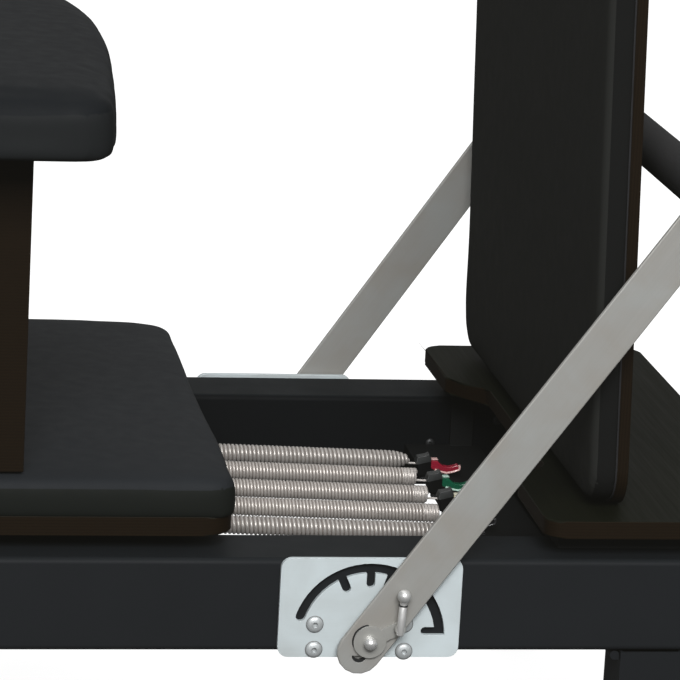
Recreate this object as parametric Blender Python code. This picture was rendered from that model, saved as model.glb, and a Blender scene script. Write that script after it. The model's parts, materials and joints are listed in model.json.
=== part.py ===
"""Folding pilates reformer with jump board and sitting box.

Units are metres, +Z up. The frame's length runs along X, its foot end at +X, and its
width along Y. The origin is at floor level, under the middle of the bounding box.
Inside this file, x is measured from a datum 2 mm to the foot side of the footbar's
pivot, and z from the top face of the side rails.
"""
import math

import bmesh
import bpy
from mathutils import Matrix, Vector

# ---------------------------------------------------------------- dimensions
PIVOT_X = 0.7780        # the datum, from the middle of the whole object
RAIL_TOP = 0.2920       # top of the side rails above the floor

FRAME_W = 0.660         # over the two rails
RAIL_W = 0.080
RAIL_H = 0.090
RAIL_WALL = 0.003
LEDGE_W = 0.028         # track ledge inside each rail
LEDGE_T = 0.008
X_FOOT = 0.400          # foot end of the rails
X_HINGE = -1.060        # where the frame folds
X_HEAD = -1.960         # head end of the rails
HINGE_Z = 0.014
SPLIT = 0.0010          # gap between the rails' ends at the hinge

PLATE_X = (-0.0867, 0.0843)   # arc-slotted plate
PLATE_H = 0.096
PLATE_T = 0.005
PLATE_TOP = 0.0022
PIN_X = -0.0020         # footbar pivot
PIVOT_Z = -0.0750
SLOT_R = 0.0677         # middle radius of the arc slot
SLOT_W = 0.0094
SLOT_END = 162.0
NOTCH_W = 0.0082
NOTCH_TIP = 0.0490
NOTCH_ANGLES = (114.8, 90.0, 72.2, 53.0)

ARM_ANGLE = 0.960       # footbar arm above the horizontal, radians
ARM_W = 0.042
ARM_T = 0.005
ARM_LEN = 0.5187
ARM_OFF = 0.0007        # the arm's centre line passes this far from the pivot
BAR_R = 0.016
FOAM_R = 0.021

SPRING_OD = 0.018
SPRING_PITCH = 0.0645
SPRING_RIGHT = 0.114
SPRING_LEFT = -0.5765
SPRING_SLOPE = -0.031
SPRING_Z0 = -0.0314     # spring axis height at x = 0

CAR_RIGHT = -0.128      # foot-ward end of the carriage
CAR_LEFT = -0.985
CAR_HALF = 0.312
CAR_Z = 0.0155
BASE_T = 0.0185
PAD_T = 0.0385

WHEEL_R = 0.0217
WHEEL_X = (-0.220, -0.880)
WHEEL_Z = -0.0597

BOARD_LEFT = 0.1625     # foot platform
BOARD_Z = 0.0205
BOARD_T = 0.0173
BOARD_HALF = 0.331

JUMP_X = 0.2045
JUMP_HALF = 0.3135
JUMP_T = 0.028
JUMP_BOTTOM = 0.0450
JUMP_TOP = 0.700
JUMP_LEAN = 0.030       # the board leans towards the carriage, radians

LEG_SIDE = 0.060
LEG_X = 0.242           # foot legs, their inner face
MID_LEG_X = -0.950
HEAD_LEG_X = -1.850

SIT_X = (-0.640, -0.230)
SIT_HALF = 0.400
SIT_Z = 0.3856
SIT_PAD_T = 0.055

GAP = 0.0003
HALF = FRAME_W / 2
INNER = HALF - RAIL_W

# ---------------------------------------------------------------- scene set-up
for old in list(bpy.data.objects):
    bpy.data.objects.remove(old, do_unlink=True)


def material(name, colour, roughness, metallic=0.0):
    mat = bpy.data.materials.new(name)
    mat.use_nodes = True
    bsdf = mat.node_tree.nodes["Principled BSDF"]
    bsdf.inputs["Base Color"].default_value = (*colour, 1)
    bsdf.inputs["Roughness"].default_value = roughness
    bsdf.inputs["Metallic"].default_value = metallic
    mat.diffuse_color = (*colour, 1)
    return mat


BLACK = material("black_frame", (0.025, 0.027, 0.028), 0.45, 0.2)
PLY = material("stained_plywood", (0.035, 0.028, 0.020), 0.55)
VINYL = material("black_vinyl", (0.030, 0.031, 0.032), 0.50)
STEEL = material("brushed_steel", (0.52, 0.52, 0.51), 0.38, 0.9)
PLATE = material("plate_steel", (0.60, 0.64, 0.64), 0.35, 0.9)
CHROME = material("chrome", (0.75, 0.75, 0.75), 0.12, 1.0)
SPRING = material("spring_steel", (0.62, 0.60, 0.57), 0.28, 1.0)
PLASTIC = material("black_plastic", (0.015, 0.015, 0.017), 0.40)
FOAM = material("black_foam", (0.018, 0.018, 0.018), 0.90)
TAG_BLACK = material("tag_black", (0.02, 0.02, 0.02), 0.40)
TAGS = [
    material("tag_red", (0.55, 0.03, 0.05), 0.40),
    material("tag_green", (0.02, 0.30, 0.14), 0.40),
    material("tag_yellow", (0.70, 0.60, 0.25), 0.40),
    TAG_BLACK,
    TAG_BLACK,
]


def world(p):
    return Vector((p[0] + PIVOT_X, p[1], p[2] + RAIL_TOP))


GROUPS = {}


def group(name, at):
    """An empty on a moving body's joint axis; its pieces are parented to it."""
    empty = bpy.data.objects.new(name + "_axis", None)
    empty.location = world(at)
    bpy.context.scene.collection.objects.link(empty)
    GROUPS[name] = empty
    return empty


def put(name, bm, mat, parent=None, smooth=False):
    bmesh.ops.remove_doubles(bm, verts=bm.verts, dist=1e-6)
    bmesh.ops.recalc_face_normals(bm, faces=bm.faces)
    if bm.calc_volume(signed=True) < 0:
        bmesh.ops.reverse_faces(bm, faces=bm.faces)
    origin = GROUPS[parent].location if parent else world((0, 0, 0))
    for v in bm.verts:
        v.co = world(v.co) - origin
    mesh = bpy.data.meshes.new(name)
    bm.to_mesh(mesh)
    bm.free()
    obj = bpy.data.objects.new(name, mesh)
    bpy.context.scene.collection.objects.link(obj)
    if mat:
        mesh.materials.append(mat)
    if parent:
        obj.parent = GROUPS[parent]
    else:
        obj.location = origin
    if smooth:
        mesh.shade_smooth()
        mesh.set_sharp_from_angle(angle=math.radians(40))
    return obj


def helper(obj):
    obj.hide_render = True
    obj.display_type = "WIRE"
    return obj


def boolean(obj, other, operation):
    mod = obj.modifiers.new(operation.lower() + "_" + other.name, "BOOLEAN")
    mod.operation = operation
    mod.solver = "EXACT"
    mod.object = helper(other)
    return obj


# ---------------------------------------------------------------- shapes
def box(lo, hi):
    bm = bmesh.new()
    size = [b - a for a, b in zip(lo, hi)]
    mid = [(a + b) / 2 for a, b in zip(lo, hi)]
    bmesh.ops.create_cube(
        bm, size=1, matrix=Matrix.Translation(mid) @ Matrix.Diagonal((*size, 1))
    )
    return bm


def lift(axis, a, b, t):
    """A 2-D point (a, b) at height t along an axis."""
    return {"X": (t, a, b), "Y": (a, t, b), "Z": (a, b, t)}[axis]


def prism(points, axis, t0, t1, edge=0.0, segments=1):
    """A closed outline extruded along an axis; edge bevels its two rims."""
    bm = bmesh.new()
    low = [bm.verts.new(lift(axis, a, b, t0)) for a, b in points]
    high = [bm.verts.new(lift(axis, a, b, t1)) for a, b in points]
    n = len(points)
    bm.faces.new(low)
    bm.faces.new(high[::-1])
    for i in range(n):
        j = (i + 1) % n
        bm.faces.new((low[i], high[i], high[j], low[j]))
    if edge:
        bm.edges.ensure_lookup_table()
        rims = set()
        for ring in (low, high):
            for i in range(n):
                e = bm.edges.get((ring[i], ring[(i + 1) % n]))
                rims.add(e)
        bmesh.ops.bevel(
            bm, geom=list(rims), offset=edge, segments=segments, affect="EDGES",
            profile=0.5, clamp_overlap=True,
        )
    return bm


def arc(cx, cz, r, a0, a1, n):
    return [
        (
            cx + r * math.cos(math.radians(a0 + (a1 - a0) * i / n)),
            cz + r * math.sin(math.radians(a0 + (a1 - a0) * i / n)),
        )
        for i in range(n + 1)
    ]


def rounded(x0, x1, z0, z1, r, n=4):
    return (
        arc(x1 - r, z0 + r, r, -90, 0, n)
        + arc(x1 - r, z1 - r, r, 0, 90, n)
        + arc(x0 + r, z1 - r, r, 90, 180, n)
        + arc(x0 + r, z0 + r, r, 180, 270, n)
    )


def lathe(profile, axis, at, n=24, closed=False):
    """A turned solid: profile is (radius, distance along the axis). A closed profile is a ring."""
    bm = bmesh.new()
    rings = []
    for r, t in profile:
        if r < 1e-9:
            rings.append([bm.verts.new(spot(axis, at, 0, 0, t))])
        else:
            rings.append(
                [
                    bm.verts.new(
                        spot(axis, at, r * math.cos(2 * math.pi * k / n),
                             r * math.sin(2 * math.pi * k / n), t)
                    )
                    for k in range(n)
                ]
            )
    pairs = list(zip(rings, rings[1:]))
    if closed:
        pairs.append((rings[-1], rings[0]))
    for a, b in pairs:
        for k in range(n):
            m = (k + 1) % n
            if len(a) == 1 and len(b) == 1:
                continue
            if len(a) == 1:
                bm.faces.new((a[0], b[k], b[m]))
            elif len(b) == 1:
                bm.faces.new((a[k], b[0], a[m]))
            else:
                bm.faces.new((a[k], b[k], b[m], a[m]))
    return bm


def spot(axis, at, u, v, t):
    if axis == "X":
        return (at[0] + t, at[1] + u, at[2] + v)
    if axis == "Y":
        return (at[0] + u, at[1] + t, at[2] + v)
    return (at[0] + u, at[1] + v, at[2] + t)


def cylinder(axis, at, r, t0, t1, n=16):
    return lathe([(0, t0), (r, t0), (r, t1), (0, t1)], axis, at, n)


def rod(p0, p1, r, n=12):
    """A straight round bar between two points."""
    a, b = Vector(p0), Vector(p1)
    d = (b - a).normalized()
    side = d.cross(Vector((0, 1, 0)))
    if side.length < 0.1:
        side = d.cross(Vector((1, 0, 0)))
    side.normalize()
    up = d.cross(side)
    bm = bmesh.new()
    rings = []
    for c in (a, b):
        rings.append(
            [
                bm.verts.new(
                    c + side * r * math.cos(2 * math.pi * k / n)
                    + up * r * math.sin(2 * math.pi * k / n)
                )
                for k in range(n)
            ]
        )
    bm.faces.new(rings[0])
    bm.faces.new(rings[1][::-1])
    for k in range(n):
        m = (k + 1) % n
        bm.faces.new((rings[0][k], rings[1][k], rings[1][m], rings[0][m]))
    return bm


def flip_y(points):
    return [(-a, b) for a, b in points]


# ---------------------------------------------------------------- bodies that move
D = (math.cos(ARM_ANGLE), math.sin(ARM_ANGLE))
N = (-D[1], D[0])
LEG_AXIS_Z = -RAIL_H - 0.0055

group("head_frame", (X_HINGE, 0, HINGE_Z))
group("foot_legs", (LEG_X - 0.0045, 0, LEG_AXIS_Z))
group("mid_legs", (MID_LEG_X + 0.0045, 0, LEG_AXIS_Z))
group("head_legs", (HEAD_LEG_X + 0.0045, 0, LEG_AXIS_Z))
group("carriage", ((CAR_LEFT + CAR_RIGHT) / 2, 0, CAR_Z))
group("footbar", (PIN_X, 0, PIVOT_Z))
group("sitting_box", ((SIT_X[0] + SIT_X[1]) / 2, 0, CAR_Z + BASE_T + PAD_T))
group("jump_board", (JUMP_X, 0, BOARD_Z + BOARD_T))
group("headrest", (-0.745, 0, CAR_Z + BASE_T + GAP))


# ---------------------------------------------------------------- side rails
def rail_profile(side):
    """Box section with rounded corners and a track ledge at the inner foot, in (y, z)."""
    r = 0.006
    pts = (
        [(INNER - LEDGE_W, -RAIL_H), (INNER - LEDGE_W, -RAIL_H + LEDGE_T), (INNER, -RAIL_H + LEDGE_T)]
        + arc(INNER + r, -r, r, 180, 90, 3)
        + arc(HALF - r, -r, r, 90, 0, 3)
        + arc(HALF - r, -RAIL_H + r, r, 0, -90, 3)
    )
    return pts if side > 0 else flip_y(pts)


def rail(name, side, x0, x1, open_low, parent=None):
    """A rail with a closed outer end and an open end at the hinge."""
    obj = put(name, prism(rail_profile(side), "X", x0, x1), BLACK, parent)
    w = RAIL_WALL
    c0 = x0 - 0.01 if open_low else x0 + w
    c1 = x1 - w if open_low else x1 + 0.01
    lo, hi = INNER + w, HALF - w
    ys = (lo, hi) if side > 0 else (-hi, -lo)
    cut = put(name + "_bore", box((c0, ys[0], -RAIL_H + w), (c1, ys[1], -w)), None, parent)
    boolean(obj, cut, "DIFFERENCE")
    return obj


for tag, side in (("near", -1), ("far", 1)):
    rail("foot_rail_" + tag, side, X_HINGE + SPLIT / 2, X_FOOT, True)
    head = rail("head_rail_" + tag, side, X_HEAD, X_HINGE - SPLIT / 2, False, "head_frame")

    # ear of the head rail: a spacer block and an outer lug with the pin's bore
    y0, y1 = sorted((side * (HALF - 0.002), side * (HALF + 0.0068)))
    block = put(
        "head_ear_block_" + tag,
        box((X_HINGE - 0.095, y0, -0.075), (X_HINGE - 0.035, y1, -0.018)),
        None, "head_frame",
    )
    boolean(head, block, "UNION")
    outline = [(X_HINGE - 0.095, -0.075), (X_HINGE - 0.035, -0.075), (X_HINGE + 0.012, HINGE_Z - 0.011)] + arc(
        X_HINGE, HINGE_Z, 0.016, -42, 120, 8
    ) + [(X_HINGE - 0.040, -0.018), (X_HINGE - 0.095, -0.018)]
    y0, y1 = sorted((side * (HALF + 0.0066), side * (HALF + 0.0126)))
    lug = put("head_ear_lug_" + tag, prism(outline, "Y", y0, y1), None, "head_frame")
    boolean(head, lug, "UNION")
    y0, y1 = sorted((side * (HALF + 0.0040), side * (HALF + 0.0200)))
    bore = put(
        "head_ear_bore_" + tag,
        cylinder("Y", (X_HINGE, 0, HINGE_Z), 0.0064, y0, y1), None, "head_frame",
    )
    boolean(head, bore, "DIFFERENCE")

    # hinge plate of the foot part, with its welded pin
    outline = (
        [(X_HINGE + 0.100, -0.075), (X_HINGE + 0.100, -0.018), (X_HINGE + 0.050, -0.018)]
        + arc(X_HINGE, HINGE_Z, 0.016, 60, 222, 8)
        + [(X_HINGE + 0.006, -0.020), (X_HINGE + 0.012, -0.075)]
    )
    y0, y1 = sorted((side * (HALF + GAP), side * (HALF + 0.0060)))
    plate = put("hinge_plate_" + tag, prism(outline, "Y", y0, y1), BLACK)
    t = [0.0030, 0.0136, 0.0136, 0.0190]
    prof = [(0, t[0]), (0.0060, t[0]), (0.0060, 0.0132), (0.0100, 0.0132), (0.0100, 0.0180), (0, 0.0180)]
    pin = put(
        "hinge_pin_" + tag,
        lathe([(r, side * (HALF + d)) for r, d in prof], "Y", (X_HINGE, 0, HINGE_Z), 16),
        None,
    )
    boolean(plate, pin, "UNION")

# ---------------------------------------------------------------- cross beams
Y_IN = INNER - GAP
def tube_bore(obj, x0, x1, z0, z1, wall, parent=None):
    """Opens a cross beam from end to end, as a rectangular tube."""
    cut = put(
        obj.name + "_bore",
        box((x0 + wall, -INNER - 0.01, z0 + wall), (x1 - wall, INNER + 0.01, z1 - wall)), None, parent,
    )
    boolean(obj, cut, "DIFFERENCE")


beam = put("foot_end_beam", box((0.340, -Y_IN, -RAIL_H + LEDGE_T + GAP), (0.396, Y_IN, BOARD_Z - GAP)), BLACK)
tube_bore(beam, 0.340, 0.396, -RAIL_H + LEDGE_T + GAP, BOARD_Z - GAP, 0.003)
put("mid_beam", box((-1.050, -INNER + LEDGE_W + 0.0005, -0.0895), (-0.990, INNER - LEDGE_W - 0.0005, -0.0765)), BLACK)

beam = put(
    "head_end_beam",
    box((-1.955, -Y_IN, -RAIL_H + LEDGE_T + GAP), (-1.900, Y_IN, -0.002)), BLACK, "head_frame",
)
PULLEY_Z = 0.175
for tag, side in (("near", -1), ("far", 1)):
    y0, y1 = sorted((side * 0.190, side * 0.206))
    post = put(
        "pulley_post_" + tag,
        prism(
            [(-1.945, -0.010), (-1.915, -0.010)] + arc(-1.930, PULLEY_Z, 0.015, 0, 180, 8), "Y", y0, y1
        ),
        None, "head_frame",
    )
    boolean(beam, post, "UNION")
    y0, y1 = sorted((side * 0.200, side * 0.2245))
    axle = put("pulley_axle_" + tag, cylinder("Y", (-1.930, 0, PULLEY_Z), 0.005, y0, y1, 12), None, "head_frame")
    boolean(beam, axle, "UNION")
    group("pulley_" + tag, (-1.930, side * 0.2145, PULLEY_Z))
    prof = [(0.0053, -0.0070), (0.0280, -0.0070), (0.0280, -0.0050), (0.0215, 0.0), (0.0280, 0.0050), (0.0280, 0.0070), (0.0053, 0.0070)]
    put(
        "rope_pulley_" + tag,
        lathe(prof, "Y", (-1.930, side * 0.2145, PULLEY_Z), 20, closed=True),
        PLASTIC, "pulley_" + tag, True,
    )

tube_bore(beam, -1.955, -1.900, -RAIL_H + LEDGE_T + GAP, -0.002, 0.003, "head_frame")

# spring bar: a shelf between the rails, with brackets over the rails that carry the platform's front
bar = put("spring_bar", box((0.1335, -Y_IN, -0.0605), (0.215, Y_IN, -0.0525)), BLACK)
for tag, side in (("near", -1), ("far", 1)):
    pieces = [
        ("foot", (0.1335, 0.225, -RAIL_H + LEDGE_T + GAP), (0.215, Y_IN, -0.0560)),
        ("upright", (0.182, 0.2440, -0.0580), (0.207, Y_IN, 0.0100)),
        ("shelf", (0.182, 0.2440, GAP), (0.207, 0.2960, 0.0100)),
        ("riser", (0.182, 0.2560, GAP), (0.334, 0.2960, BOARD_Z - GAP)),
    ]
    for name, lo, hi in pieces:
        ys = sorted((side * lo[1], side * hi[1]))
        part = put(
            "spring_bar_" + name + "_" + tag, box((lo[0], ys[0], lo[2]), (hi[0], ys[1], hi[2])), None
        )
        boolean(bar, part, "UNION")

# ---------------------------------------------------------------- foot platform
def platform_outline():
    x0, x1, h = BOARD_LEFT, X_FOOT + 0.004, BOARD_HALF
    r = 0.019
    back = 0.2000

    def half():
        """From the middle of the recess to the outer foot-end corner, for +Y."""
        pts = [(back, 0.136)]
        pts += arc(back - 0.010, 0.1385, 0.010, 0, 60, 3)[1:]
        pts += [(0.1790, 0.1640)]
        pts += arc(x0 + 0.012, 0.1960, 0.012, 240, 180, 3)
        pts += arc(x0 + r, h - r, r, 180, 90, 5)
        pts += arc(x1 - r, h - r, r, 90, 0, 5)
        return pts

    right = half()
    return right + [(x, -y) for x, y in right[::-1]]


put("platform_board", prism(platform_outline(), "Z", BOARD_Z, BOARD_Z + BOARD_T, 0.0015), PLY)

# ---------------------------------------------------------------- arc-slotted plates
def polar(r, deg):
    return (PIN_X + r * math.cos(math.radians(deg)), PIVOT_Z + r * math.sin(math.radians(deg)))


def slot_outline():
    """The arc slot with its notches, anticlockwise from the lower right corner."""
    ro, ri, w, h = SLOT_R + SLOT_W / 2, SLOT_R - SLOT_W / 2, SLOT_W / 2, NOTCH_W / 2
    low, high = 0.0029, 0.0106
    pts = [(PIN_X + math.sqrt(ro**2 - low**2), PIVOT_Z + low)]
    pts += [polar(ro, 6.0 * k) for k in range(1, 27)] + [polar(ro, SLOT_END)]
    cx, cz = polar(SLOT_R, SLOT_END)
    pts += arc(cx, cz, w, SLOT_END, SLOT_END + 180.0, 6)[1:-1]
    pts.append(polar(ri, SLOT_END))
    d = math.degrees(math.asin(h / ri))
    a = 156.0
    for mid in NOTCH_ANGLES:
        while a > mid + d + 2:
            pts.append(polar(ri, a))
            a -= 7
        pts.append(polar(ri, mid + d))
        c = polar(NOTCH_TIP + h, mid)
        pts += arc(c[0], c[1], h, mid + 90, mid + 270, 5)
        pts.append(polar(ri, mid - d))
        a = mid - d - 5
    while a > 14:
        pts.append(polar(ri, a))
        a -= 7
    pts.append((PIN_X + math.sqrt(ri**2 - high**2), PIVOT_Z + high))
    rr = (high - low) / 2
    pts += arc(0.0475 + rr, PIVOT_Z + (low + high) / 2, rr, 90, 270, 5)
    return pts


for tag, side in (("near", -1), ("far", 1)):
    y0, y1 = sorted((side * (HALF + GAP), side * (HALF + GAP + PLATE_T)))
    plate = put(
        "slot_plate_" + tag,
        prism(rounded(PLATE_X[0], PLATE_X[1], PLATE_TOP - PLATE_H, PLATE_TOP, 0.010, 5), "Y", y0, y1),
        PLATE,
    )
    c0, c1 = sorted((side * (HALF - 0.005), side * (HALF + 0.015)))
    cut = put("arc_slot_" + tag, prism(slot_outline(), "Y", c0, c1), None)
    boolean(plate, cut, "DIFFERENCE")
    cut = put("pivot_bore_" + tag, cylinder("Y", (PIN_X, 0, PIVOT_Z), 0.0064, c0, c1), None)
    boolean(plate, cut, "DIFFERENCE")

# ---------------------------------------------------------------- footbar
ARM_IN = HALF + 0.0100
ARM_OUT = ARM_IN + ARM_T
TOP = (PIN_X + D[0] * ARM_LEN + N[0] * ARM_OFF, PIVOT_Z + D[1] * ARM_LEN + N[1] * ARM_OFF)
LOW = (PIN_X - D[0] * 0.0143 + N[0] * ARM_OFF, PIVOT_Z - D[1] * 0.0143 + N[1] * ARM_OFF)
ANG = math.degrees(ARM_ANGLE)
LEVER_BASE = (0.0250, -0.0615)
LEVER_BALL = (0.0269, -0.0285)

for tag, side in (("near", -1), ("far", 1)):
    outline = arc(TOP[0], TOP[1], ARM_W / 2, ANG - 90, ANG + 90, 8) + arc(
        LOW[0], LOW[1], ARM_W / 2, ANG + 90, ANG + 270, 8
    )
    y0, y1 = sorted((side * ARM_IN, side * ARM_OUT))
    arm = put("footbar_arm_" + tag, prism(outline, "Y", y0, y1, 0.0008), STEEL, "footbar")
    c0, c1 = sorted((side * (ARM_IN - 0.01), side * (ARM_OUT + 0.01)))
    cut = put("arm_bore_" + tag, cylinder("Y", (PIN_X, 0, PIVOT_Z), 0.0063, c0, c1), None, "footbar")
    boolean(arm, cut, "DIFFERENCE")
    # half-moon pocket near the arm's lower end
    p0, p1 = sorted((side * (ARM_OUT - 0.0040), side * (ARM_OUT + 0.01)))
    moon = arc(-0.0107, -0.0892, 0.0070, 182, 358, 9)
    cut = put("arm_pocket_" + tag, prism(moon, "Y", p0, p1), None, "footbar")
    boolean(arm, cut, "DIFFERENCE")
    # stop pin that runs in the arc slot
    p0, p1 = sorted((side * (HALF + GAP), side * (ARM_IN + 0.003)))
    pin = put(
        "arm_pin_" + tag,
        cylinder("Y", (PIN_X + D[0] * SLOT_R, 0, PIVOT_Z + D[1] * SLOT_R), 0.0035, p0, p1, 12), None, "footbar",
    )
    boolean(arm, pin, "UNION")

    # pivot bolt: shank, flat disc with a lug under the lever, domed nut
    prof = [(0, HALF + GAP), (0.0060, HALF + GAP), (0.0060, ARM_OUT + GAP), (0.0155, ARM_OUT + GAP),
            (0.0155, ARM_OUT + 0.0032), (0.0062, ARM_OUT + 0.0032), (0.0062, ARM_OUT + 0.0080)]
    for i in range(1, 5):
        a = math.pi / 2 * i / 4
        prof.append((0.0060 * math.cos(a) if i < 4 else 0, ARM_OUT + 0.0080 + 0.0046 * math.sin(a)))
    bolt = put(
        "pivot_bolt_" + tag,
        lathe([(r, side * t) for r, t in prof], "Y", (PIN_X, 0, PIVOT_Z), 24), CHROME, "footbar", True,
    )
    e = (LEVER_BASE[0], LEVER_BASE[1])
    tangent = math.degrees(math.atan2(e[1] - PIVOT_Z, e[0] - PIN_X))
    lug = arc(e[0], e[1], 0.0062, tangent - 90, tangent + 90, 6) + [(0.0055, -0.0641), (0.0110, -0.0752)]
    y0, y1 = sorted((side * (ARM_OUT + GAP), side * (ARM_OUT + 0.0030)))
    lug = put("bolt_lug_" + tag, prism(lug, "Y", y0, y1), None, "footbar")
    boolean(bolt, lug, "UNION")

    # lock lever: knuckle, shank and ball
    group("lock_lever_" + tag, (LEVER_BASE[0], side * (ARM_OUT + 0.008), LEVER_BASE[1]))
    yc = side * (ARM_OUT + 0.0082)
    ux, uz = LEVER_BALL[0] - LEVER_BASE[0], LEVER_BALL[1] - LEVER_BASE[1]
    ball_prof = [(0, -0.0063)] + [
        (0.0063 * math.sin(math.pi * i / 8), -0.0063 * math.cos(math.pi * i / 8)) for i in range(1, 8)
    ] + [(0, 0.0063)]
    ball = put(
        "lock_lever_" + tag,
        lathe(ball_prof, "Y", (LEVER_BALL[0], yc, LEVER_BALL[1]), 16), CHROME, "lock_lever_" + tag, True,
    )
    shank = put(
        "lever_shank_" + tag,
        rod((LEVER_BASE[0], yc, LEVER_BASE[1]), (LEVER_BASE[0] + ux * 0.9, yc, LEVER_BASE[1] + uz * 0.9), 0.0039),
        None, "lock_lever_" + tag,
    )
    boolean(ball, shank, "UNION")
    k0, k1 = sorted((side * (ARM_OUT + 0.0035), side * (ARM_OUT + 0.0130)))
    knuckle = put(
        "lever_knuckle_" + tag,
        cylinder("Y", (LEVER_BASE[0], 0, LEVER_BASE[1]), 0.0052, k0, k1, 14), None, "lock_lever_" + tag,
    )
    boolean(ball, knuckle, "UNION")

put(
    "footbar_tube",
    lathe(
        [(BAR_R - 0.003, -ARM_IN + GAP), (BAR_R, -ARM_IN + GAP), (BAR_R, ARM_IN - GAP), (BAR_R - 0.003, ARM_IN - GAP)],
        "Y", (TOP[0], 0, TOP[1]), 24, closed=True,
    ),
    STEEL, "footbar", True,
)
put(
    "footbar_foam",
    lathe(
        [(BAR_R + GAP, -0.300), (FOAM_R - 0.002, -0.300), (FOAM_R, -0.298), (FOAM_R, 0.298),
         (FOAM_R - 0.002, 0.300), (BAR_R + GAP, 0.300)],
        "Y", (TOP[0], 0, TOP[1]), 24, closed=True,
    ),
    FOAM, "footbar", True,
)

# ---------------------------------------------------------------- springs
SPRING_Y = [SPRING_PITCH * (2 - i) for i in range(5)]
for i, y in enumerate(SPRING_Y):
    x0, x1 = SPRING_LEFT, SPRING_RIGHT
    r = SPRING_OD / 2

    def at(x):
        return (x, y, SPRING_Z0 + SPRING_SLOPE * x)

    prof = [(0.0, x0), (0.0050, x0), (r, x0 + 0.010), (r, x1 - 0.012), (0.0040, x1), (0.0, x1)]
    bm = lathe(prof, "X", (0, y, 0), 12)
    for v in bm.verts:
        v.co.z += SPRING_Z0 + SPRING_SLOPE * v.co.x
    put(f"spring_{i + 1}", bm, SPRING, None, True)

    # stem: thin shank into a black clamp block on the shelf
    stem = put(
        f"spring_stem_{i + 1}",
        prism(rounded(0.1235, 0.1400, -0.0522, -0.0278, 0.003, 2), "Y", y - 0.0095, y + 0.0095, 0.0012),
        PLASTIC,
    )
    shank = put(f"stem_shank_{i + 1}", cylinder("X", (0, y, -0.0400), 0.0022, SPRING_RIGHT + GAP, 0.1300, 10), None)
    boolean(stem, shank, "UNION")

    # pull tab behind the block
    tab = [
        (0.1403, -0.0390), (0.1403, -0.0285), (0.1460, -0.0272), (0.1478, -0.0335), (0.1530, -0.0382),
        (0.1600, -0.0392), (0.1660, -0.0368), (0.1712, -0.0330), (0.1728, -0.0372), (0.1690, -0.0420),
        (0.1610, -0.0452), (0.1520, -0.0448), (0.1450, -0.0415),
    ]
    put(f"spring_tag_{i + 1}", prism(tab, "Y", y - 0.0050, y + 0.0050, 0.0008), TAGS[i])

# ---------------------------------------------------------------- carriage
def slab_outline(x0, x1, h, r_right, r_left, n=5):
    return (
        arc(x1 - r_right, -h + r_right, r_right, -90, 0, n)
        + arc(x1 - r_right, h - r_right, r_right, 0, 90, n)
        + arc(x0 + r_left, h - r_left, r_left, 90, 180, n)
        + arc(x0 + r_left, -h + r_left, r_left, 180, 270, n)
    )


CAR_TOP = CAR_Z + BASE_T
put(
    "carriage_base",
    prism(slab_outline(CAR_LEFT, CAR_RIGHT, CAR_HALF, 0.030, 0.018), "Z", CAR_Z, CAR_TOP, 0.0015),
    PLY, "carriage",
)
put(
    "carriage_pad",
    prism(
        slab_outline(-0.710, CAR_RIGHT + 0.001, CAR_HALF + 0.001, 0.030, 0.022), "Z",
        CAR_TOP + GAP, CAR_TOP + PAD_T, 0.008, 2,
    ),
    VINYL, "carriage",
)
sub = None
parts = [
    ("near", (-0.940, -0.2200, -0.0700), (-0.160, -0.2140, CAR_Z - GAP)),
    ("far", (-0.940, 0.2140, -0.0700), (-0.160, 0.2200, CAR_Z - GAP)),
    ("cross_foot", (-0.215, -0.2150, 0.0060), (-0.190, 0.2150, CAR_Z - GAP)),
    ("cross_head", (-0.910, -0.2150, 0.0060), (-0.885, 0.2150, CAR_Z - GAP)),
    ("anchor", (-0.595, -0.2150, -0.0240), (-0.5775, 0.2150, CAR_Z - GAP)),
]
for name, lo, hi in parts:
    obj = put("carriage_subframe" if sub is None else "subframe_" + name, box(lo, hi), BLACK if sub is None else None, "carriage")
    if sub is None:
        sub = obj
    elif name != "far":
        boolean(sub, obj, "UNION")
    else:
        last = obj
boolean(sub, last, "UNION")
count = 0
for x in WHEEL_X:
    for tag, side in (("near", -1), ("far", 1)):
        count += 1
        y0, y1 = sorted((side * 0.2180, side * 0.2450))
        axle = put(f"axle_{count}", cylinder("Y", (x, 0, WHEEL_Z), 0.0040, y0, y1, 12), None, "carriage")
        boolean(sub, axle, "UNION")
        group(f"wheel_{count}", (x, side * 0.2345, WHEEL_Z))
        prof = [(0.0043, -0.0085), (0.0090, -0.0085), (0.0090, -0.0075), (0.0195, -0.0075), (WHEEL_R, -0.0055),
                (WHEEL_R, 0.0055), (0.0195, 0.0075), (0.0090, 0.0075), (0.0090, 0.0085), (0.0043, 0.0085)]
        put(
            f"track_wheel_{count}",
            lathe(prof, "Y", (x, side * 0.2345, WHEEL_Z), 20, closed=True), PLASTIC, f"wheel_{count}", True,
        )

# headrest and shoulder rests
put(
    "headrest_pad",
    prism(slab_outline(-0.980, -0.7455, 0.140, 0.025, 0.040), "Z", CAR_TOP + GAP, CAR_TOP + 0.045, 0.008, 2),
    VINYL, "headrest",
)
for tag, side in (("near", -1), ("far", 1)):
    y0, y1 = sorted((side * 0.190, side * 0.255))
    z0 = CAR_TOP + GAP
    prof = [(-0.860, z0), (-0.7775, z0), (-0.7775, 0.191), (-0.7825, 0.191), (-0.7825, z0 + 0.005), (-0.860, z0 + 0.005)]
    put("shoulder_bracket_" + tag, prism(prof, "Y", y0, y1), BLACK, "carriage")
    y0, y1 = sorted((side * 0.155, side * 0.290))
    pad = rounded(-0.7770 + GAP, -0.7190, 0.0420, 0.2260, 0.016, 4)
    put("shoulder_pad_" + tag, prism(pad, "Y", y0, y1, 0.010, 2), VINYL, "carriage")

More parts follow.
